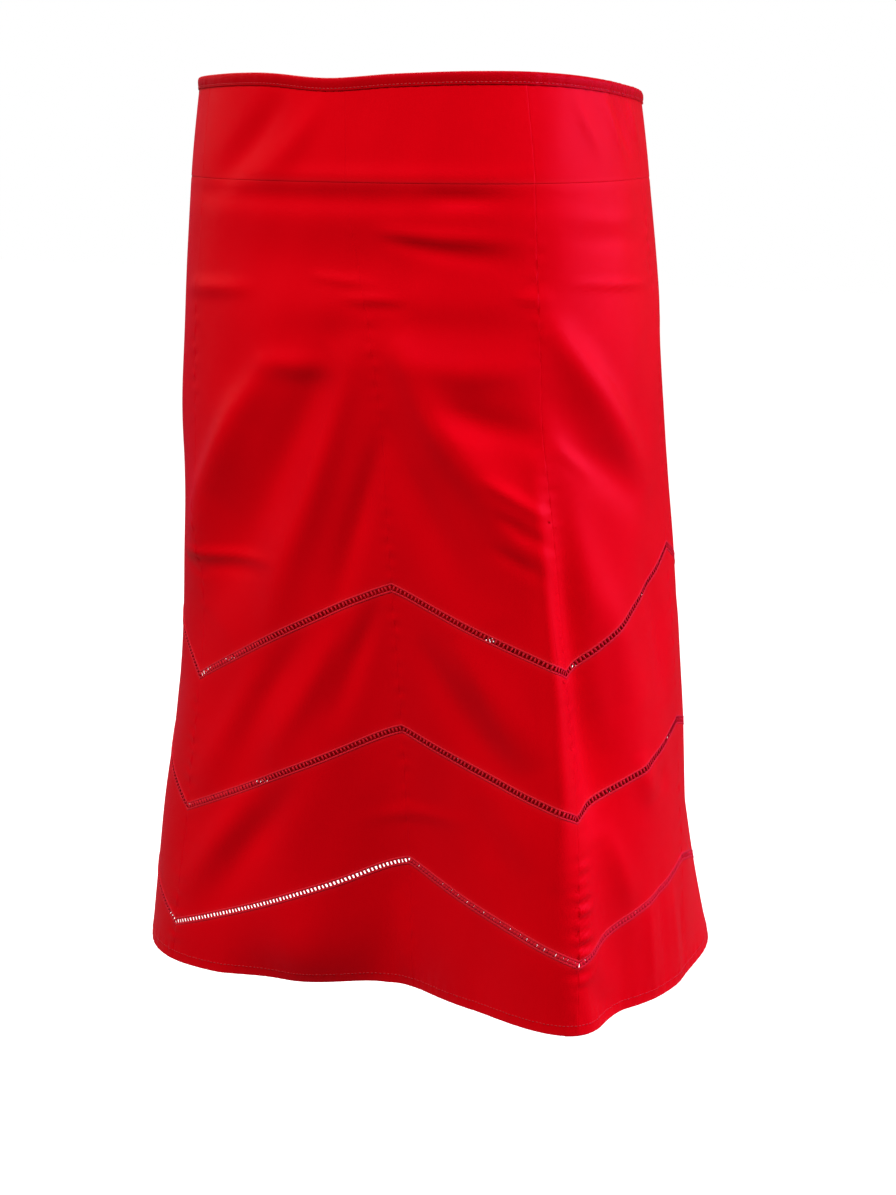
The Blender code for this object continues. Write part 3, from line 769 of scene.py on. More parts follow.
def sew_panel(name, gores, edges, ends, sizes, material):
    """One gore piece of a row, with its edges turned under, as a thin shell that hangs in its folds."""
    top, foot = edges
    steps = np.linspace(*gores, EDGE_SAMPLES)
    heights = foot(steps) - top(steps)
    drops = np.linspace(top(steps).min(), foot(steps).max(), DROP_SAMPLES)
    widths = gore_widths(gores, drops)
    side = turned_edge(sizes.seam_allowance, sizes.seam_roll)
    columns = spread(side, side, sizes.mesh_cell, widths.mean())
    rows = spread(ends[0], ends[1], sizes.mesh_cell, heights.mean())
    mesh, column, row = grid_sheet(name, len(columns), len(rows))
    inset, share, side_depth = columns[column].T
    fall, fall_share, end_depth = rows[row].T
    gore = gores[0] + (gores[1] - gores[0]) * share
    for _ in range(3):
        start = top(gore)
        height = foot(gore) - start
        drop = start + fall + fall_share * height
        width = np.interp(drop, drops, widths)
        part = (inset + share * width) / width
        trim = zip_trim(gores[0], drop) * (1 - part) - zip_trim(gores[1], drop) * part
        gore = gores[0] + part + trim / width
    angle = gore_angle(gore, drop)
    set_places(mesh, lay(angle, drop, side_depth + end_depth))
    set_cloth_map(mesh, gores[0] * GORE_MAP_STEP + part * width, drop)
    # Near a panel's end the cloth is lightened: partly wear, partly a painted highlight on the fold
    from_end = np.minimum(drop - start, start + height - drop)
    set_wear_and_highlight(mesh, np.exp(-np.clip(from_end, 0, 1) / WEAR_AND_HIGHLIGHT_REACH))
    piece = finish_piece(name + "_cloth", mesh, material, [name], wall=sizes.cloth_wall)
    turned_ends = ends[0][0][0] + ends[1][0][0]
    cut = (widths.max() + 2 * sizes.seam_allowance, foot(steps).max() - top(steps).min() + turned_ends)


def sew_binding(sizes, material):
    """The narrow strip folded over the waist's edge, open at the centre back."""
    rows = np.array(BINDING_TURN)
    around = int(round(2 * math.pi * BINDING_RADIUS / sizes.mesh_cell * BINDING_FINENESS))
    mesh, column, row = grid_sheet("waist_binding", around + 1, len(rows))
    gore = BACK_SEAM + GORES * column / around
    below, depth = rows[row].T
    drop = waist_edge(gore) + below
    angle = gore_angle(gore, drop)
    side = np.where(column < around / 2, 1.0, -1.0)
    at_end = np.minimum(column, around - column) == 0
    angle = angle + at_end * side * math.degrees(ZIP_CHANNEL / 2 / SECTIONS[0].back)
    turn = np.radians(angle)
    drawn = BINDING_DRAWN_ALL
    for middle, half_width, strength in BINDING_DRAWN:
        drawn = drawn + strength * lobe(turned(angle - middle), half_width)
    slant = BINDING_PUCKER_TURNS * turn + BINDING_PUCKER_SLANT * (drop - waist_edge(gore))
    pucker = BINDING_PUCKER * drawn * (np.sin(slant) + 0.6 * np.sin(0.61 * slant + 1.1))
    set_places(mesh, lay(angle, drop, depth - ease(-depth, *BINDING_OUTSIDE) * pucker))
    path = np.cumsum(np.r_[0.0, np.hypot(*np.diff(rows, axis=0).T)])
    set_cloth_map(mesh, turn * BINDING_RADIUS, path[row])
    # Along its fold the binding is lightened: partly wear, partly a painted highlight
    set_wear_and_highlight(mesh, np.exp(-np.abs(path[row] - path[BINDING_FOLD_ROW]) / BINDING_WEAR_AND_HIGHLIGHT))
    piece = finish_piece(
        "waist_binding_cloth", mesh, material, ["waist_binding"], wall=sizes.cloth_wall)
    long = gore_widths((BACK_SEAM, BACK_SEAM + GORES), [BINDING_DEPTH / 2])[0]


def row_of(shape, count, pitch):
    """A row of the same small shape along x, doubled until there are enough."""
    made = 1
    while made < count:
        taken = min(made, count - made)
        verts = [vert for vert in shape.verts if vert.co.x < (taken - 0.5) * pitch]
        chosen = set(verts)
        faces = [face for face in shape.faces if face.verts[0] in chosen]
        edges = [edge for edge in shape.edges if edge.verts[0] in chosen]
        copied = bmesh.ops.duplicate(shape, geom=verts + edges + faces)["geom"]
        fresh = [part for part in copied if isinstance(part, bmesh.types.BMVert)]
        bmesh.ops.translate(shape, verts=fresh, vec=(made * pitch, 0.0, 0.0))
        made += taken


def measured_line(line, gores):
    """A line on the cloth, as gore numbers and how far along the line each is."""
    gore = np.linspace(*gores, int(LINE_SAMPLES * (gores[1] - gores[0])) + 1)
    drop = line(gore)
    places = form_point(gore_angle(gore, drop), drop)
    along = np.r_[0.0, np.cumsum(np.linalg.norm(np.diff(places, axis=0), axis=1))]
    return gore, along


def lay_beside(line, path, along, across, out):
    """Points beside a line on the cloth: how far along it, how far above it and how far out."""
    gore = np.interp(along, path[1], path[0])
    drop = line(gore)
    angle = gore_angle(gore, drop)
    seam = np.clip(np.floor(gore), path[0][0], path[0][-1] - 1)
    ahead = np.clip(gore + LOOK_ALONG, seam, seam + SEAM_SHY)
    behind = np.clip(gore - LOOK_ALONG, seam, seam + SEAM_SHY)
    ends = [form_point(gore_angle(place, line(place)), line(place)) for place in (ahead, behind)]
    fall = (line(ahead) - line(behind)) / np.linalg.norm(ends[0] - ends[1], axis=-1)
    level = np.sqrt(np.clip(1 - fall ** 2, 0.1, 1))
    radius = np.linalg.norm(form_point(angle, drop)[..., :2], axis=-1)
    across = across * level
    return lay(angle + np.degrees(across * fall / radius), drop - across * level, -out)


def sew_run(name, line, gores, shape, pitch, uneven, out, material, nodes, fullness=None):
    """Lay a row of small shapes along a line on the cloth, gore by gore, so that none sits on a seam."""
    path = measured_line(line, gores)
    ends = np.interp(np.arange(math.ceil(gores[0]), math.floor(gores[1]) + 1), path[0], path[1])
    ends = np.unique(np.r_[0.0, ends, path[1][-1]])
    middles = []
    for start, end in zip(ends, ends[1:]):
        count = int(round((end - start) / pitch))
        if count:
            middles.append(start + (np.arange(count) + 0.5) * (end - start) / count)
    middles = np.concatenate(middles)
    row_of(shape, len(middles), pitch)
    mesh = bpy.data.meshes.new(name)
    shape.to_mesh(mesh)
    shape.free()
    flat = read_places(mesh)
    number = np.clip(np.rint(flat[:, 0] / pitch).astype(int), 0, len(middles) - 1)
    local = flat[:, 0] - number * pitch
    if fullness:
        local = local * fullness(np.interp(middles[number], path[1], path[0]))
    first, second = (number * turn for turn in UNEVEN_TURNS)
    swing = uneven * (np.sin(first) + 0.6 * np.sin(second + 1))
    along = middles[number] + local + swing * (0.5 + flat[:, 1] * UNEVEN_LEAN)
    set_places(mesh, lay_beside(line, path, along, flat[:, 1], out + flat[:, 2]))
    set_cloth_map(mesh, along, flat[:, 1])
    return finish_piece(name, mesh, material, nodes)


def bar_shape(sizes):
    """One bar of the openwork, upright at the start of its row."""
    bar = bmesh.new()
    size = Matrix.Diagonal((sizes.bar_width / 2, BAR_REACH, BAR_THICKNESS / 2, 1.0))
    bmesh.ops.create_cone(
        bar, cap_ends=True, segments=BAR_SIDES, radius1=1.0, radius2=1.0, depth=2.0,
        matrix=size @ Matrix.Rotation(math.pi / 2, 4, "X"))
    return bar


def bar_fullness(band, gore):
    """How many times its plain width a bar has, where the work is drawn together."""
    full = 1 + BACK_FULLNESS * ease(-np.abs(gore - BACK_SEAM), *BACK_FULL_RUN)
    if band.name == "openwork_3":
        front = ease(-np.abs(gore - FRONT_FULL_GORE), *FRONT_FULL_RUN)
        return full + HEM_FULLNESS + FRONT_FULLNESS * front
    return full + CORNER_FULLNESS * lobe(gore - CORNER_FULL_GORE, CORNER_FULL_WIDTH)


def stitch_shape(sizes):
    """One stitch, lying along x at the start of its row."""
    stitch = bmesh.new()
    size = Matrix.Diagonal((sizes.stitch_pitch * STITCH_SHARE / 2, STITCH_RADIUS, STITCH_RADIUS, 1.0))
    bmesh.ops.create_uvsphere(
        stitch, u_segments=6, v_segments=5, radius=1.0,
        matrix=size @ Matrix.Rotation(math.pi / 2, 4, "Y"))
    return stitch


def ladder_rail():
    """A plain ring that becomes one of a band's rails."""
    rail = bmesh.new()
    bmesh.ops.create_circle(
        rail, segments=RAIL_SIDES, radius=1.0, matrix=Matrix.Rotation(math.pi / 2, 4, "X"))
    bmesh.ops.translate(rail, verts=rail.verts, vec=(RING_RADIUS, 0.0, 0.0))
    bmesh.ops.spin(
        rail, geom=list(rail.verts) + list(rail.edges), cent=(0, 0, 0), axis=(0, 0, 1),
        angle=2 * math.pi, steps=RAIL_STEPS, use_merge=True)
    bmesh.ops.recalc_face_normals(rail, faces=rail.faces)
    mesh = bpy.data.meshes.new("rail")
    rail.to_mesh(mesh)
    rail.free()
    return mesh


def sew_openwork(band, sizes, material):
    """One openwork band: two rails with a row of bars between them, and real holes."""
    def line(gore):
        return band_middle(band, gore)

    bars = sew_run(band.name + "_ladder", line, (0, GORES), bar_shape(sizes), sizes.bar_pitch,
                   BAR_UNEVEN, -BAND_SUNK, material, [band.name],
                   fullness=lambda gore: bar_fullness(band, gore))
    work = bmesh.new()
    work.from_mesh(bars.data)
    width = RAIL_WIDTHS[band.name]
    for side in (-1, 1):
        mesh = ladder_rail()
        flat = read_places(mesh)
        turn = np.arctan2(flat[:, 1], flat[:, 0]) / (2 * math.pi)
        gore = np.rint(turn * RAIL_STEPS) % RAIL_STEPS / RAIL_STEPS * GORES
        out = np.hypot(flat[:, 0], flat[:, 1]) - RING_RADIUS
        middle = side * (BAND_DEPTH / 2 - RAIL_MARGIN - width / 2)
        drop = line(gore) + middle - flat[:, 2] * width / 2
        set_places(mesh, lay(gore_angle(gore, drop), drop, BAND_SUNK - out * RAIL_THICKNESS / 2))
        set_cloth_map(mesh, gore * RAIL_MAP_STEP, drop)
        work.from_mesh(mesh)
        bpy.data.meshes.remove(mesh)
    work.to_mesh(bars.data)
    work.free()
    bars.data.shade_smooth()


def sew_stitches(name, line, gores, out, sizes, material):
    """A row of stitches along a line on the cloth."""
    sew_run(name, line, gores, stitch_shape(sizes), sizes.stitch_pitch, STITCH_UNEVEN, out, material,
            [])


def lay_on_back(side, drop, depth):
    """Points inside the centre back seam: how far to its side, how far down and how deep."""
    angle = seam_angle(BACK_SEAM, drop)
    radius = np.linalg.norm(form_point(angle, drop)[:, :2], axis=1)
    return lay(angle + np.degrees(side / radius), drop, depth)


def sew_tape(node, sides, material):
    """One woven tape of the zip, inside the centre back seam."""
    across, down = TAPE_CELLS
    drops = (frame_low(node), ZIP_TAPE_END)
    mesh, column, row = grid_sheet(node + "_weave", across + 1, down + 1)
    side = sides[0] + (sides[1] - sides[0]) * column / across
    drop = drops[0] + (drops[1] - drops[0]) * row / down
    set_places(mesh, lay_on_back(side, drop, TAPE_DEPTH))
    set_cloth_map(mesh, side, drop)
    set_wear_and_highlight(mesh, np.zeros(len(side)))
    piece = finish_piece(node + "_weave", mesh, material, [node], wall=TAPE_WALL)


def sew_coil(material):
    """The zip's coil: a close row of small turns, closed all the way down."""
    start = frame_low("zip_coil")
    coil = bmesh.new()
    size = Matrix.Diagonal((COIL_PITCH * COIL_FULL, ZIP_COIL_WIDTH / 2, COIL_THICKNESS / 2, 1.0))
    bmesh.ops.create_uvsphere(coil, u_segments=8, v_segments=5, radius=1.0, matrix=size)
    row_of(coil, int((ZIP_END - start) / COIL_PITCH), COIL_PITCH)
    mesh = bpy.data.meshes.new("zip_coil_turns")
    coil.to_mesh(mesh)
    coil.free()
    along, side, out = read_places(mesh).T
    lean = COIL_LEAN * (np.rint(along / COIL_PITCH) % 2 - 0.5)
    drop = start + along + COIL_PITCH / 2 + lean * side
    set_places(mesh, lay_on_back(side, drop, COIL_DEPTH - out))
    finish_piece("zip_coil_turns", mesh, material, ["zip_coil"])


def frame_low(node):
    """Drop of a node's highest point."""
    return -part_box(node)[1][2]


def soften(node, body, material):
    """A metal part with its edges rounded, made from the frame's own solid."""
    copy = bmesh.new()
    copy.from_mesh(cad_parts[node].data)
    bmesh.ops.remove_doubles(copy, verts=copy.verts, dist=1e-6)
    bmesh.ops.dissolve_limit(copy, angle_limit=METAL_FLAT, verts=copy.verts, edges=copy.edges)
    sharp = [edge for edge in copy.edges if edge.is_manifold and edge.calc_face_angle() > METAL_SHARP]
    bmesh.ops.bevel(
        copy, geom=sharp, offset=METAL_EDGE, segments=2, profile=0.5, affect="EDGES", material=-1,
        clamp_overlap=True)
    mesh = bpy.data.meshes.new(node + "_enamelled")
    copy.to_mesh(mesh)
    copy.free()
    finish_piece(node + "_enamelled", mesh, material, [node], body=body)
    mesh.set_sharp_from_angle(angle=METAL_SMOOTH)


def add_node(tree, kind, inputs=(), **traits):
    """Add a node, set what it is, and set or link its inputs."""
    made = tree.nodes.new(kind)
    for key, value in traits.items():
        setattr(made, key, value)
    for key, value in dict(inputs).items():
        if isinstance(value, bpy.types.NodeSocket):
            tree.links.new(value, made.inputs[key])
        else:
            made.inputs[key].default_value = value
    return made


def calculate(tree, operation, *values):
    """A sum of one or two values, as a socket."""
    return add_node(tree, "ShaderNodeMath", dict(enumerate(values)), operation=operation).outputs[0]


def multiply(tree, first, second):
    """The product of two values, as a socket."""
    return calculate(tree, "MULTIPLY", first, second)


def remap(tree, value, given=(0.0, 1.0), made=(0.0, 1.0)):
    """The value moved from one range to another and kept inside it, as a socket."""
    ends = dict(enumerate(given + made, start=1))
    return add_node(tree, "ShaderNodeMapRange", {0: value, **ends}).outputs[0]


def blend(tree, part, first, second):
    """The colour a part of the way from the first to the second, as a socket."""
    return add_node(tree, "ShaderNodeMix", {0: part, 6: first, 7: second}, data_type="RGBA").outputs[2]


def noise(tree, place, scale, detail):
    """Soft noise over a place's coordinates, as a socket."""
    return add_node(
        tree, "ShaderNodeTexNoise", {"Vector": place, "Scale": scale, "Detail": detail}).outputs[0]


def object_noise(tree, scale, detail):
    """Soft noise fixed to the piece, as a socket."""
    place = add_node(tree, "ShaderNodeTexCoord").outputs["Object"]
    return noise(tree, place, scale, detail)


def bump(tree, height, strength, distance):
    """The surface's normal, raised by a height, as a socket."""
    return add_node(
        tree, "ShaderNodeBump",
        {"Height": height, "Strength": strength, "Distance": distance}).outputs[0]


def start_group(name, inputs, outputs):
    """A shader node group with named sockets."""
    group = bpy.data.node_groups.new(name, "ShaderNodeTree")
    for socket, kind, value in inputs:
        made = group.interface.new_socket(socket, in_out="INPUT", socket_type=kind)
        if value is not None:
            made.default_value = value
    for socket, kind in outputs:
        group.interface.new_socket(socket, in_out="OUTPUT", socket_type=kind)
    return group, group.nodes.new("NodeGroupInput"), group.nodes.new("NodeGroupOutput")


def sateen_weave():
    """The group that draws sateen's threads: their height, the crossing threads and the slubs."""
    group, given, result = start_group(
        "sateen_weave",
        [("Map", "NodeSocketVector", None), ("Threads per metre", "NodeSocketFloat", 2200.0)],
        [("Height", "NodeSocketFloat"), ("Crossing", "NodeSocketFloat"), ("Slub", "NodeSocketFloat")])
    cloth_map = given.outputs["Map"]
    split = add_node(group, "ShaderNodeSeparateXYZ", {0: cloth_map})
    across, down = (
        multiply(group, split.outputs[way], given.outputs["Threads per metre"]) for way in (0, 1))
    thread = calculate(
        group, "ABSOLUTE", calculate(group, "SINE", multiply(group, across, math.pi)))
    shift = multiply(group, calculate(group, "FLOOR", across), 0.4)
    turn = calculate(group, "ADD", multiply(group, down, 0.2), shift)
    wave = calculate(group, "COSINE", multiply(group, turn, 2 * math.pi))
    crossing = remap(group, wave, (0.45, 0.95))
    height = calculate(group, "SUBTRACT", thread, multiply(group, crossing, 0.6))
    drawn_out = add_node(
        group, "ShaderNodeVectorMath", {0: cloth_map, 1: (900.0, 90.0, 1.0)}, operation="MULTIPLY")
    slub = noise(group, drawn_out.outputs[0], 1.0, 2.0)
    for socket, value in (("Height", height), ("Crossing", crossing), ("Slub", slub)):
        group.links.new(value, result.inputs[socket])
    return group


def dyed_tone():
    """The group that varies a dyed colour: slow patches, slubs and edges with wear and a painted
    highlight.
    """
    group, given, result = start_group(
        "dyed_tone",
        [("Colour", "NodeSocketColor", (0.7, 0.0, 0.02, 1.0)),
         ("Deep", "NodeSocketColor", (0.5, 0.0, 0.01, 1.0)),
         ("Rubbed", "NodeSocketColor", (0.8, 0.02, 0.05, 1.0)),
         ("Slub", "NodeSocketFloat", 0.5), ("Wear", "NodeSocketFloat", 0.0),
         ("Patch scale", "NodeSocketFloat", 9.0)],
        [("Colour", "NodeSocketColor")])
    patch = remap(group, object_noise(group, given.outputs["Patch scale"], 3.0), (0.35, 0.7))
    deep = calculate(
        group, "ADD", multiply(group, patch, 0.45), multiply(group, given.outputs["Slub"], 0.25))
    toned = blend(group, deep, given.outputs["Colour"], given.outputs["Deep"])
    # Edges move towards pale pink: partly wear, partly a painted highlight
    rub_and_highlight = multiply(group, given.outputs["Wear"], 0.5)
    group.links.new(blend(group, rub_and_highlight, toned, given.outputs["Rubbed"]), result.inputs["Colour"])
    return group


def shade(colour, share):
    """The colour at a share of its brightness."""
    return tuple(part * share for part in colour[:3]) + (1.0,)


def pinked(colour, share):
    """The colour moved a share of the way to a pale pink, as rubbed cloth is; on the cloth's edges it is
    also a painted highlight.
    """
    mixed = (part + (pink - part) * share for part, pink in zip(colour[:3], RUBBED_AND_HIGHLIGHT_PINK))
    return (*mixed, 1.0)


def start_material(name):
    """A material with its tree and its shader."""
    material = bpy.data.materials.new(name)
    material.use_nodes = True
    return material, material.node_tree, material.node_tree.nodes["Principled BSDF"]


def set_plain(shader, **values):
    """Set the shader's values that are the same all over."""
    for name, value in values.items():
        shader.inputs[name.replace("_", " ")].default_value = value


def cloth_material(name, colour, weave, groups):
    """A dyed woven cloth."""
    material, tree, shader = start_material(name)
    cloth_map = add_node(tree, "ShaderNodeUVMap", uv_map="cloth")
    wear = add_node(tree, "ShaderNodeAttribute", attribute_name="wear")
    threads = add_node(tree, "ShaderNodeGroup", node_tree=groups["weave"])
    tree.links.new(cloth_map.outputs[0], threads.inputs["Map"])
    threads.inputs["Threads per metre"].default_value = weave.threads
    tone = add_node(tree, "ShaderNodeGroup", node_tree=groups["tone"])
    tone.inputs["Colour"].default_value = shade(colour, 1.0)
    tone.inputs["Deep"].default_value = shade(colour, 0.80)
    # The edges' pale pink is partly wear and partly a painted highlight
    tone.inputs["Rubbed"].default_value = pinked(colour, 0.06)
    rough = remap(tree, threads.outputs["Crossing"], made=(0.40, 0.52))
    raised = bump(tree, threads.outputs["Height"], 0.6, weave.bump)
    for given, socket in (
            (threads.outputs["Slub"], tone.inputs["Slub"]), (wear.outputs["Fac"], tone.inputs["Wear"]),
            (tone.outputs["Colour"], shader.inputs["Base Color"]),
            (rough, shader.inputs["Roughness"]), (raised, shader.inputs["Normal"])):
        tree.links.new(given, socket)
    set_plain(shader, Specular_IOR_Level=CLOTH_GLOSS, Specular_Tint=CLOTH_GLOSS_TINT,
              Sheen_Weight=weave.sheen, Sheen_Roughness=0.45, Sheen_Tint=CLOTH_SHEEN_TINT)
    return material


def thread_material(name, colour):
    """Twisted sewing thread."""
    material, tree, shader = start_material(name)
    ply = object_noise(tree, 1800.0, 1.0)
    tone = blend(tree, ply, shade(colour, 0.8), pinked(colour, 0.12))
    tree.links.new(tone, shader.inputs["Base Color"])
    tree.links.new(bump(tree, ply, 0.5, 0.0001), shader.inputs["Normal"])
    set_plain(shader, Roughness=0.5, Sheen_Weight=0.3, Sheen_Tint=(1.0, 0.3, 0.4, 1.0))
    return material


def enamel_material(name, colour):
    """Metal enamelled to match the cloth, rubbed thin in places."""
    material, tree, shader = start_material(name)
    cloud = object_noise(tree, 420.0, 4.0)
    tone = blend(tree, remap(tree, cloud, (0.62, 0.75)), shade(colour, 1.0), ENAMEL_RUBBED)
    tree.links.new(tone, shader.inputs["Base Color"])
    tree.links.new(remap(tree, cloud, made=(0.22, 0.42)), shader.inputs["Roughness"])
    set_plain(shader, Metallic=0.3, Coat_Weight=0.4)
    return material


def coil_material(name, colour):
    """The zip's glossy nylon."""
    material, tree, shader = start_material(name)
    tone = blend(tree, object_noise(tree, 300.0, 2.0), shade(colour, 0.75), pinked(colour, 0.08))
    tree.links.new(tone, shader.inputs["Base Color"])
    set_plain(shader, Roughness=0.35)
    return material


def make_materials(colours):
    """Every finish of the skirt, by name."""
    if "red_cloth_sateen" in bpy.data.materials:
        return {material.name: material for material in bpy.data.materials}
    groups = {"weave": sateen_weave(), "tone": dyed_tone()}
    made = [
        cloth_material("red_cloth_sateen", colours.cloth, SATEEN, groups),
        # The binding is the same cloth painted darker: painted shade
        cloth_material("red_cloth_binding", shade(colours.cloth, BINDING_PAINTED_SHADE), BINDING_SATEEN, groups),
        cloth_material("ladder_cotton", colours.ladder, LADDER_COTTON, groups),
        cloth_material("zip_tape_weave", colours.tape, TAPE_COTTON, groups),
        thread_material("sewing_thread", colours.thread),
        enamel_material("enamelled_metal_red", colours.enamel),
        coil_material("nylon_coil", colours.coil),
    ]
    return {material.name: material for material in made}


def finishes(context):
    """The skirt's materials, made once from the colours in the panel."""
    return make_materials(context.scene.skirt_colours)


def settings(context):
    """The sizes in the panel."""
    return context.scene.skirt_sizes


def sew_row(context, row, top, foot, ends):
    """The eight gore pieces of one row."""
    cloth = finishes(context)["red_cloth_sateen"]
    for gore, gore_name in enumerate(GORE_NAMES):
        sew_panel(f"{row}_{gore_name}", (gore, gore + 1), (top, foot), ends, settings(context), cloth)


class SkirtSizes(bpy.types.PropertyGroup):
    """Sizes of the sewing that a user may change."""

    mesh_cell: bpy.props.FloatProperty(
        name="Mesh cell", description="Distance between the cloth's mesh lines", default=0.0026,
        min=0.001, unit="LENGTH")
    cloth_wall: bpy.props.FloatProperty(
        name="Cloth thickness", description="Thickness of one layer of the sateen", default=0.0005,
        min=0.0002, unit="LENGTH")
    seam_allowance: bpy.props.FloatProperty(
        name="Seam allowance", description="Cloth turned back inside each seam", default=0.0085,
        min=0.004, unit="LENGTH")
    seam_roll: bpy.props.FloatProperty(
        name="Seam roll", description="Radius that the cloth rolls over at a seam", default=0.00036,
        min=0.0003, unit="LENGTH")
    hem_turn: bpy.props.FloatProperty(
        name="Hem turn", description="Cloth turned up inside the hem", default=0.0090,
        min=0.004, unit="LENGTH")
    bar_pitch: bpy.props.FloatProperty(
        name="Bar pitch", description="Distance between the openwork's bars", default=0.0027,
        min=0.0015, unit="LENGTH")
    bar_width: bpy.props.FloatProperty(
        name="Bar width", description="Width of each of the openwork's bars", default=0.0013,
        min=0.0003, unit="LENGTH")
    stitch_pitch: bpy.props.FloatProperty(
        name="Stitch pitch", description="Distance between stitches", default=0.0026,
        min=0.001, unit="LENGTH")


class SkirtColours(bpy.types.PropertyGroup):
    """Colours of the skirt that a user may change."""

    cloth: bpy.props.FloatVectorProperty(
        name="Cloth", description="The dyed sateen", subtype="COLOR", size=3, min=0, max=1,
        default=(0.80, 0.0, 0.006))
    ladder: bpy.props.FloatVectorProperty(
        name="Openwork", description="The ladder's rails and bars", subtype="COLOR", size=3, min=0,
        max=1, default=(0.74, 0.018, 0.038))
    tape: bpy.props.FloatVectorProperty(
        name="Zip tape", description="The zip's woven tapes", subtype="COLOR", size=3, min=0, max=1,
        default=(0.50, 0.002, 0.014))
    coil: bpy.props.FloatVectorProperty(
        name="Zip coil", description="The zip's nylon turns", subtype="COLOR", size=3, min=0, max=1,
        default=(0.48, 0.004, 0.020))
    enamel: bpy.props.FloatVectorProperty(
        name="Enamel", description="The slider and its pull tab", subtype="COLOR", size=3, min=0,
        max=1, default=(0.62, 0.006, 0.020))
    thread: bpy.props.FloatVectorProperty(
        name="Thread", description="The sewing thread", subtype="COLOR", size=3, min=0, max=1,
        default=(0.62, 0.004, 0.022))


class SKIRT_OT_waist_binding(bpy.types.Operator):
    """Fold the narrow binding over the waist's edge and stitch it down"""

    bl_idname = "skirt.waist_binding"
    bl_label = "Waist binding"

    def execute(self, context):
        sizes = settings(context)
        made = finishes(context)
        sew_binding(sizes, made["red_cloth_binding"])
        sew_stitches(
            "waist_stitching", lambda gore: waist_edge(gore) + BINDING_STITCH_DROP,
            (BACK_SEAM + BINDING_STITCH_END, BACK_SEAM + GORES - BINDING_STITCH_END),
            BINDING_STITCH_OUT, sizes, made["sewing_thread"])
        return {"FINISHED"}


class SKIRT_OT_yoke(bpy.types.Operator):
    """Sew the eight pieces of the yoke"""

    bl_idname = "skirt.yoke"
    bl_label = "Yoke"

    def execute(self, context):
        seam = turned_edge(settings(context).seam_allowance, settings(context).seam_roll)
        sew_row(context, "yoke", yoke_top, yoke_seam, (raw_edge(), seam))
        return {"FINISHED"}


class SKIRT_OT_upper_gores(bpy.types.Operator):
    """Sew the eight gores from the yoke to the first openwork band"""

    bl_idname = "skirt.upper_gores"
    bl_label = "Upper gores"

    def execute(self, context):
        seam = tucked_edge(settings(context).seam_allowance, settings(context).seam_roll)
        edge = turned_edge(BAND_TURN, settings(context).seam_roll)
        sew_row(context, "upper", yoke_seam, band_top(BANDS[0]), (seam, edge))
        return {"FINISHED"}


class SKIRT_OT_tiers(bpy.types.Operator):
    """Sew the three rows of gores between and below the openwork bands"""

    bl_idname = "skirt.tiers"
    bl_label = "Tiers"

    def execute(self, context):
        edge = turned_edge(BAND_TURN, settings(context).seam_roll)
        hem = turned_edge(settings(context).hem_turn, settings(context).seam_roll)
        for number, band in enumerate(BANDS, start=1):
            last = number == len(BANDS)
            foot = hem_edge if last else band_top(BANDS[number])
            sew_row(context, f"tier_{number}", band_foot(band), foot, (edge, hem if last else edge))
        return {"FINISHED"}


class SKIRT_OT_openwork(bpy.types.Operator):
    """Work the three ladder bands, with their rails, bars and holes"""

    bl_idname = "skirt.openwork"
    bl_label = "Openwork bands"

    def execute(self, context):
        for band in BANDS:
            sew_openwork(band, settings(context), finishes(context)["ladder_cotton"])
        return {"FINISHED"}


class SKIRT_OT_hem_stitching(bpy.types.Operator):
    """Stitch the narrow hem"""

    bl_idname = "skirt.hem_stitching"
    bl_label = "Hem stitching"

    def execute(self, context):
        sew_stitches(
            "hem_stitching", lambda gore: hem_edge(gore) - HEM_STITCH_UP, (0, GORES), HEM_STITCH_OUT,
            settings(context), finishes(context)["sewing_thread"])
        return {"FINISHED"}


class SKIRT_OT_back_zip(bpy.types.Operator):
    """Set the concealed zip in the centre back seam"""

    bl_idname = "skirt.back_zip"
    bl_label = "Back zip"

    def execute(self, context):
        made = finishes(context)
        inner = ZIP_COIL_WIDTH / 2 + ZIP_GAP
        outer = inner + ZIP_TAPE_WIDTH
        sew_tape("zip_tape_left", (-outer, -inner), made["zip_tape_weave"])
        sew_tape("zip_tape_right", (inner, outer), made["zip_tape_weave"])
        sew_coil(made["nylon_coil"])
        soften("zip_slider", "skirt", made["enamelled_metal_red"])
        soften("zip_pull", "pull_tab", made["enamelled_metal_red"])
        return {"FINISHED"}


class SKIRT_OT_stage(bpy.types.Operator):
    """Lay the pale floor, and set the lights and the camera"""

    bl_idname = "skirt.stage"
    bl_label = "Stage"

    def execute(self, context):
        lay_floor()
        for light in LIGHTS:
            hang_light(context, light)
        set_sky(context)
        set_camera(context)
        return {"FINISHED"}


def facing(azimuth, elevation):
    """The direction from the skirt towards a place round it."""
    turn = math.radians(azimuth)
    rise = math.radians(elevation)
    return Vector((math.sin(turn) * math.cos(rise), -math.cos(turn) * math.cos(rise), math.sin(rise)))


def floor_material():
    """Plain pale floor with a faint mottle, which glows a little where it is seen directly."""
    material, tree, shader = start_material("pale_floor")
    seen = add_node(tree, "ShaderNodeLightPath").outputs["Is Camera Ray"]
    tone = blend(tree, object_noise(tree, 3.0, 2.0), *FLOOR_TONES)
    tree.links.new(blend(tree, seen, FLOOR_BOUNCE, tone), shader.inputs["Base Color"])
    tree.links.new(remap(tree, seen, made=(0.0, FLOOR_GLOW)), shader.inputs["Emission Strength"])
    set_plain(shader, Emission_Color=(1.0, 1.0, 1.0, 1.0), Roughness=0.8, Specular_IOR_Level=0.0)
    return material


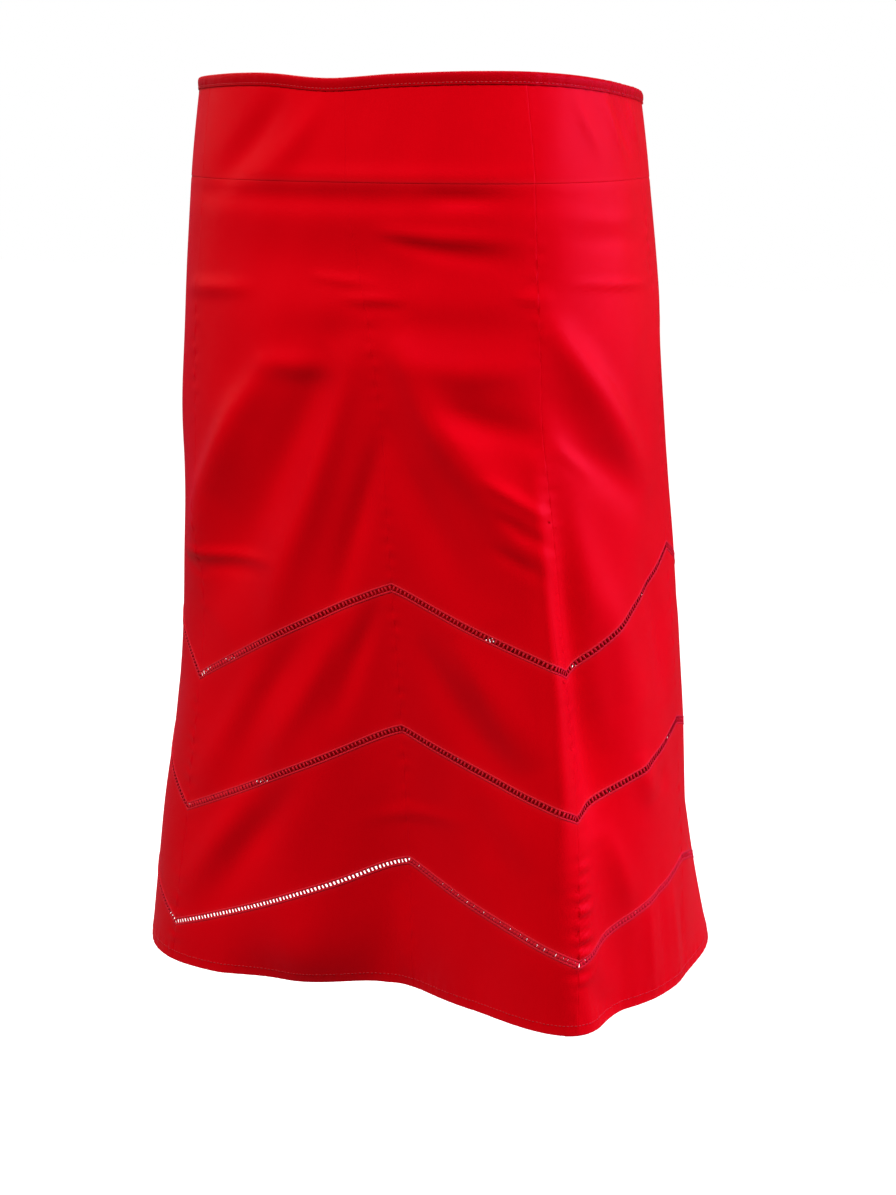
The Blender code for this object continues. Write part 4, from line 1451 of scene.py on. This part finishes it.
def lay_floor():
    """The plain floor."""
    floor = bmesh.new()
    bmesh.ops.create_grid(floor, x_segments=1, y_segments=1, size=FLOOR_HALF)
    bmesh.ops.translate(floor, verts=floor.verts, vec=(0.0, 0.0, -FLOOR_DROP))
    mesh = bpy.data.meshes.new("floor")
    floor.to_mesh(mesh)
    floor.free()
    mesh.materials.append(floor_material())
    thing = bpy.data.objects.new("floor", mesh)
    bpy.context.scene.collection.objects.link(thing)


def hang_light(context, light):
    """One soft square light, aimed at the skirt."""
    lamp = bpy.data.lights.new(light.name, "AREA")
    lamp.shape = "SQUARE"
    lamp.size = light.width
    lamp.energy = light.watts
    lamp.color = light.colour
    thing = bpy.data.objects.new(light.name, lamp)
    away = facing(light.azimuth, light.elevation)
    thing.location = LIGHT_AIM + away * light.distance
    thing.rotation_euler = (-away).to_track_quat("-Z", "Y").to_euler()
    context.scene.collection.objects.link(thing)


def set_sky(context):
    """Even pale light from all round."""
    world = bpy.data.worlds.new("studio")
    world.use_nodes = True
    tree = world.node_tree
    sky = tree.nodes["Background"]
    sky.inputs["Color"].default_value = (1.0, 1.0, 1.0, 1.0)
    seen = add_node(tree, "ShaderNodeLightPath").outputs["Is Camera Ray"]
    tree.links.new(remap(tree, seen, made=(SKY_LIGHT, SKY_SEEN)), sky.inputs["Strength"])
    context.scene.view_settings.view_transform = "Standard"
    context.scene.world = world


def set_camera(context):
    """The camera, where the photograph was taken from."""
    lens = bpy.data.cameras.new("camera")
    lens.sensor_width = SENSOR
    lens.lens = FOCAL_PIXELS * SENSOR / PHOTO_HEIGHT
    camera = bpy.data.objects.new("camera", lens)
    level = facing(CAMERA_AZIMUTH, 0.0)
    right = Vector((-level.y, level.x, 0.0))
    camera.location = level * CAMERA_DISTANCE + right * CAMERA_ASIDE + Vector((0, 0, CAMERA_HEIGHT))
    ahead = -facing(CAMERA_AZIMUTH, CAMERA_PITCH)
    camera.rotation_euler = ahead.to_track_quat("-Z", "Y").to_euler()
    context.scene.collection.objects.link(camera)
    context.scene.camera = camera


class SKIRT_PT_panel(bpy.types.Panel):
    """Lists the steps that sew the skirt, with their sizes and colours"""

    bl_idname = "SKIRT_PT_panel"
    bl_label = "A-line midi skirt"
    bl_space_type = "VIEW_3D"
    bl_region_type = "UI"
    bl_category = "Skirt"

    def draw(self, context):
        for group in (context.scene.skirt_sizes, context.scene.skirt_colours):
            for key in group.bl_rna.properties.keys():
                if key not in ("rna_type", "name"):
                    self.layout.prop(group, key)
        for step in STEPS:
            self.layout.operator(step.bl_idname)


STEPS = (
    SKIRT_OT_waist_binding, SKIRT_OT_yoke, SKIRT_OT_upper_gores, SKIRT_OT_tiers, SKIRT_OT_openwork,
    SKIRT_OT_hem_stitching, SKIRT_OT_back_zip, SKIRT_OT_stage,
)
CLASSES = (SkirtSizes, SkirtColours, *STEPS, SKIRT_PT_panel)


def register():
    """Add the steps, their settings and the panel."""
    for item in CLASSES:
        bpy.utils.register_class(item)
    bpy.types.Scene.skirt_sizes = bpy.props.PointerProperty(type=SkirtSizes)
    bpy.types.Scene.skirt_colours = bpy.props.PointerProperty(type=SkirtColours)


def unregister():
    """Take them away again."""
    del bpy.types.Scene.skirt_colours
    del bpy.types.Scene.skirt_sizes
    for item in reversed(CLASSES):
        bpy.utils.unregister_class(item)


def main():
    """Sew the skirt and set the stage."""
    register()
    bpy.ops.skirt.waist_binding()
    bpy.ops.skirt.yoke()
    bpy.ops.skirt.upper_gores()
    bpy.ops.skirt.tiers()
    bpy.ops.skirt.openwork()
    bpy.ops.skirt.hem_stitching()
    bpy.ops.skirt.back_zip()
    bpy.ops.skirt.stage()


if __name__ == "__main__":
    main()
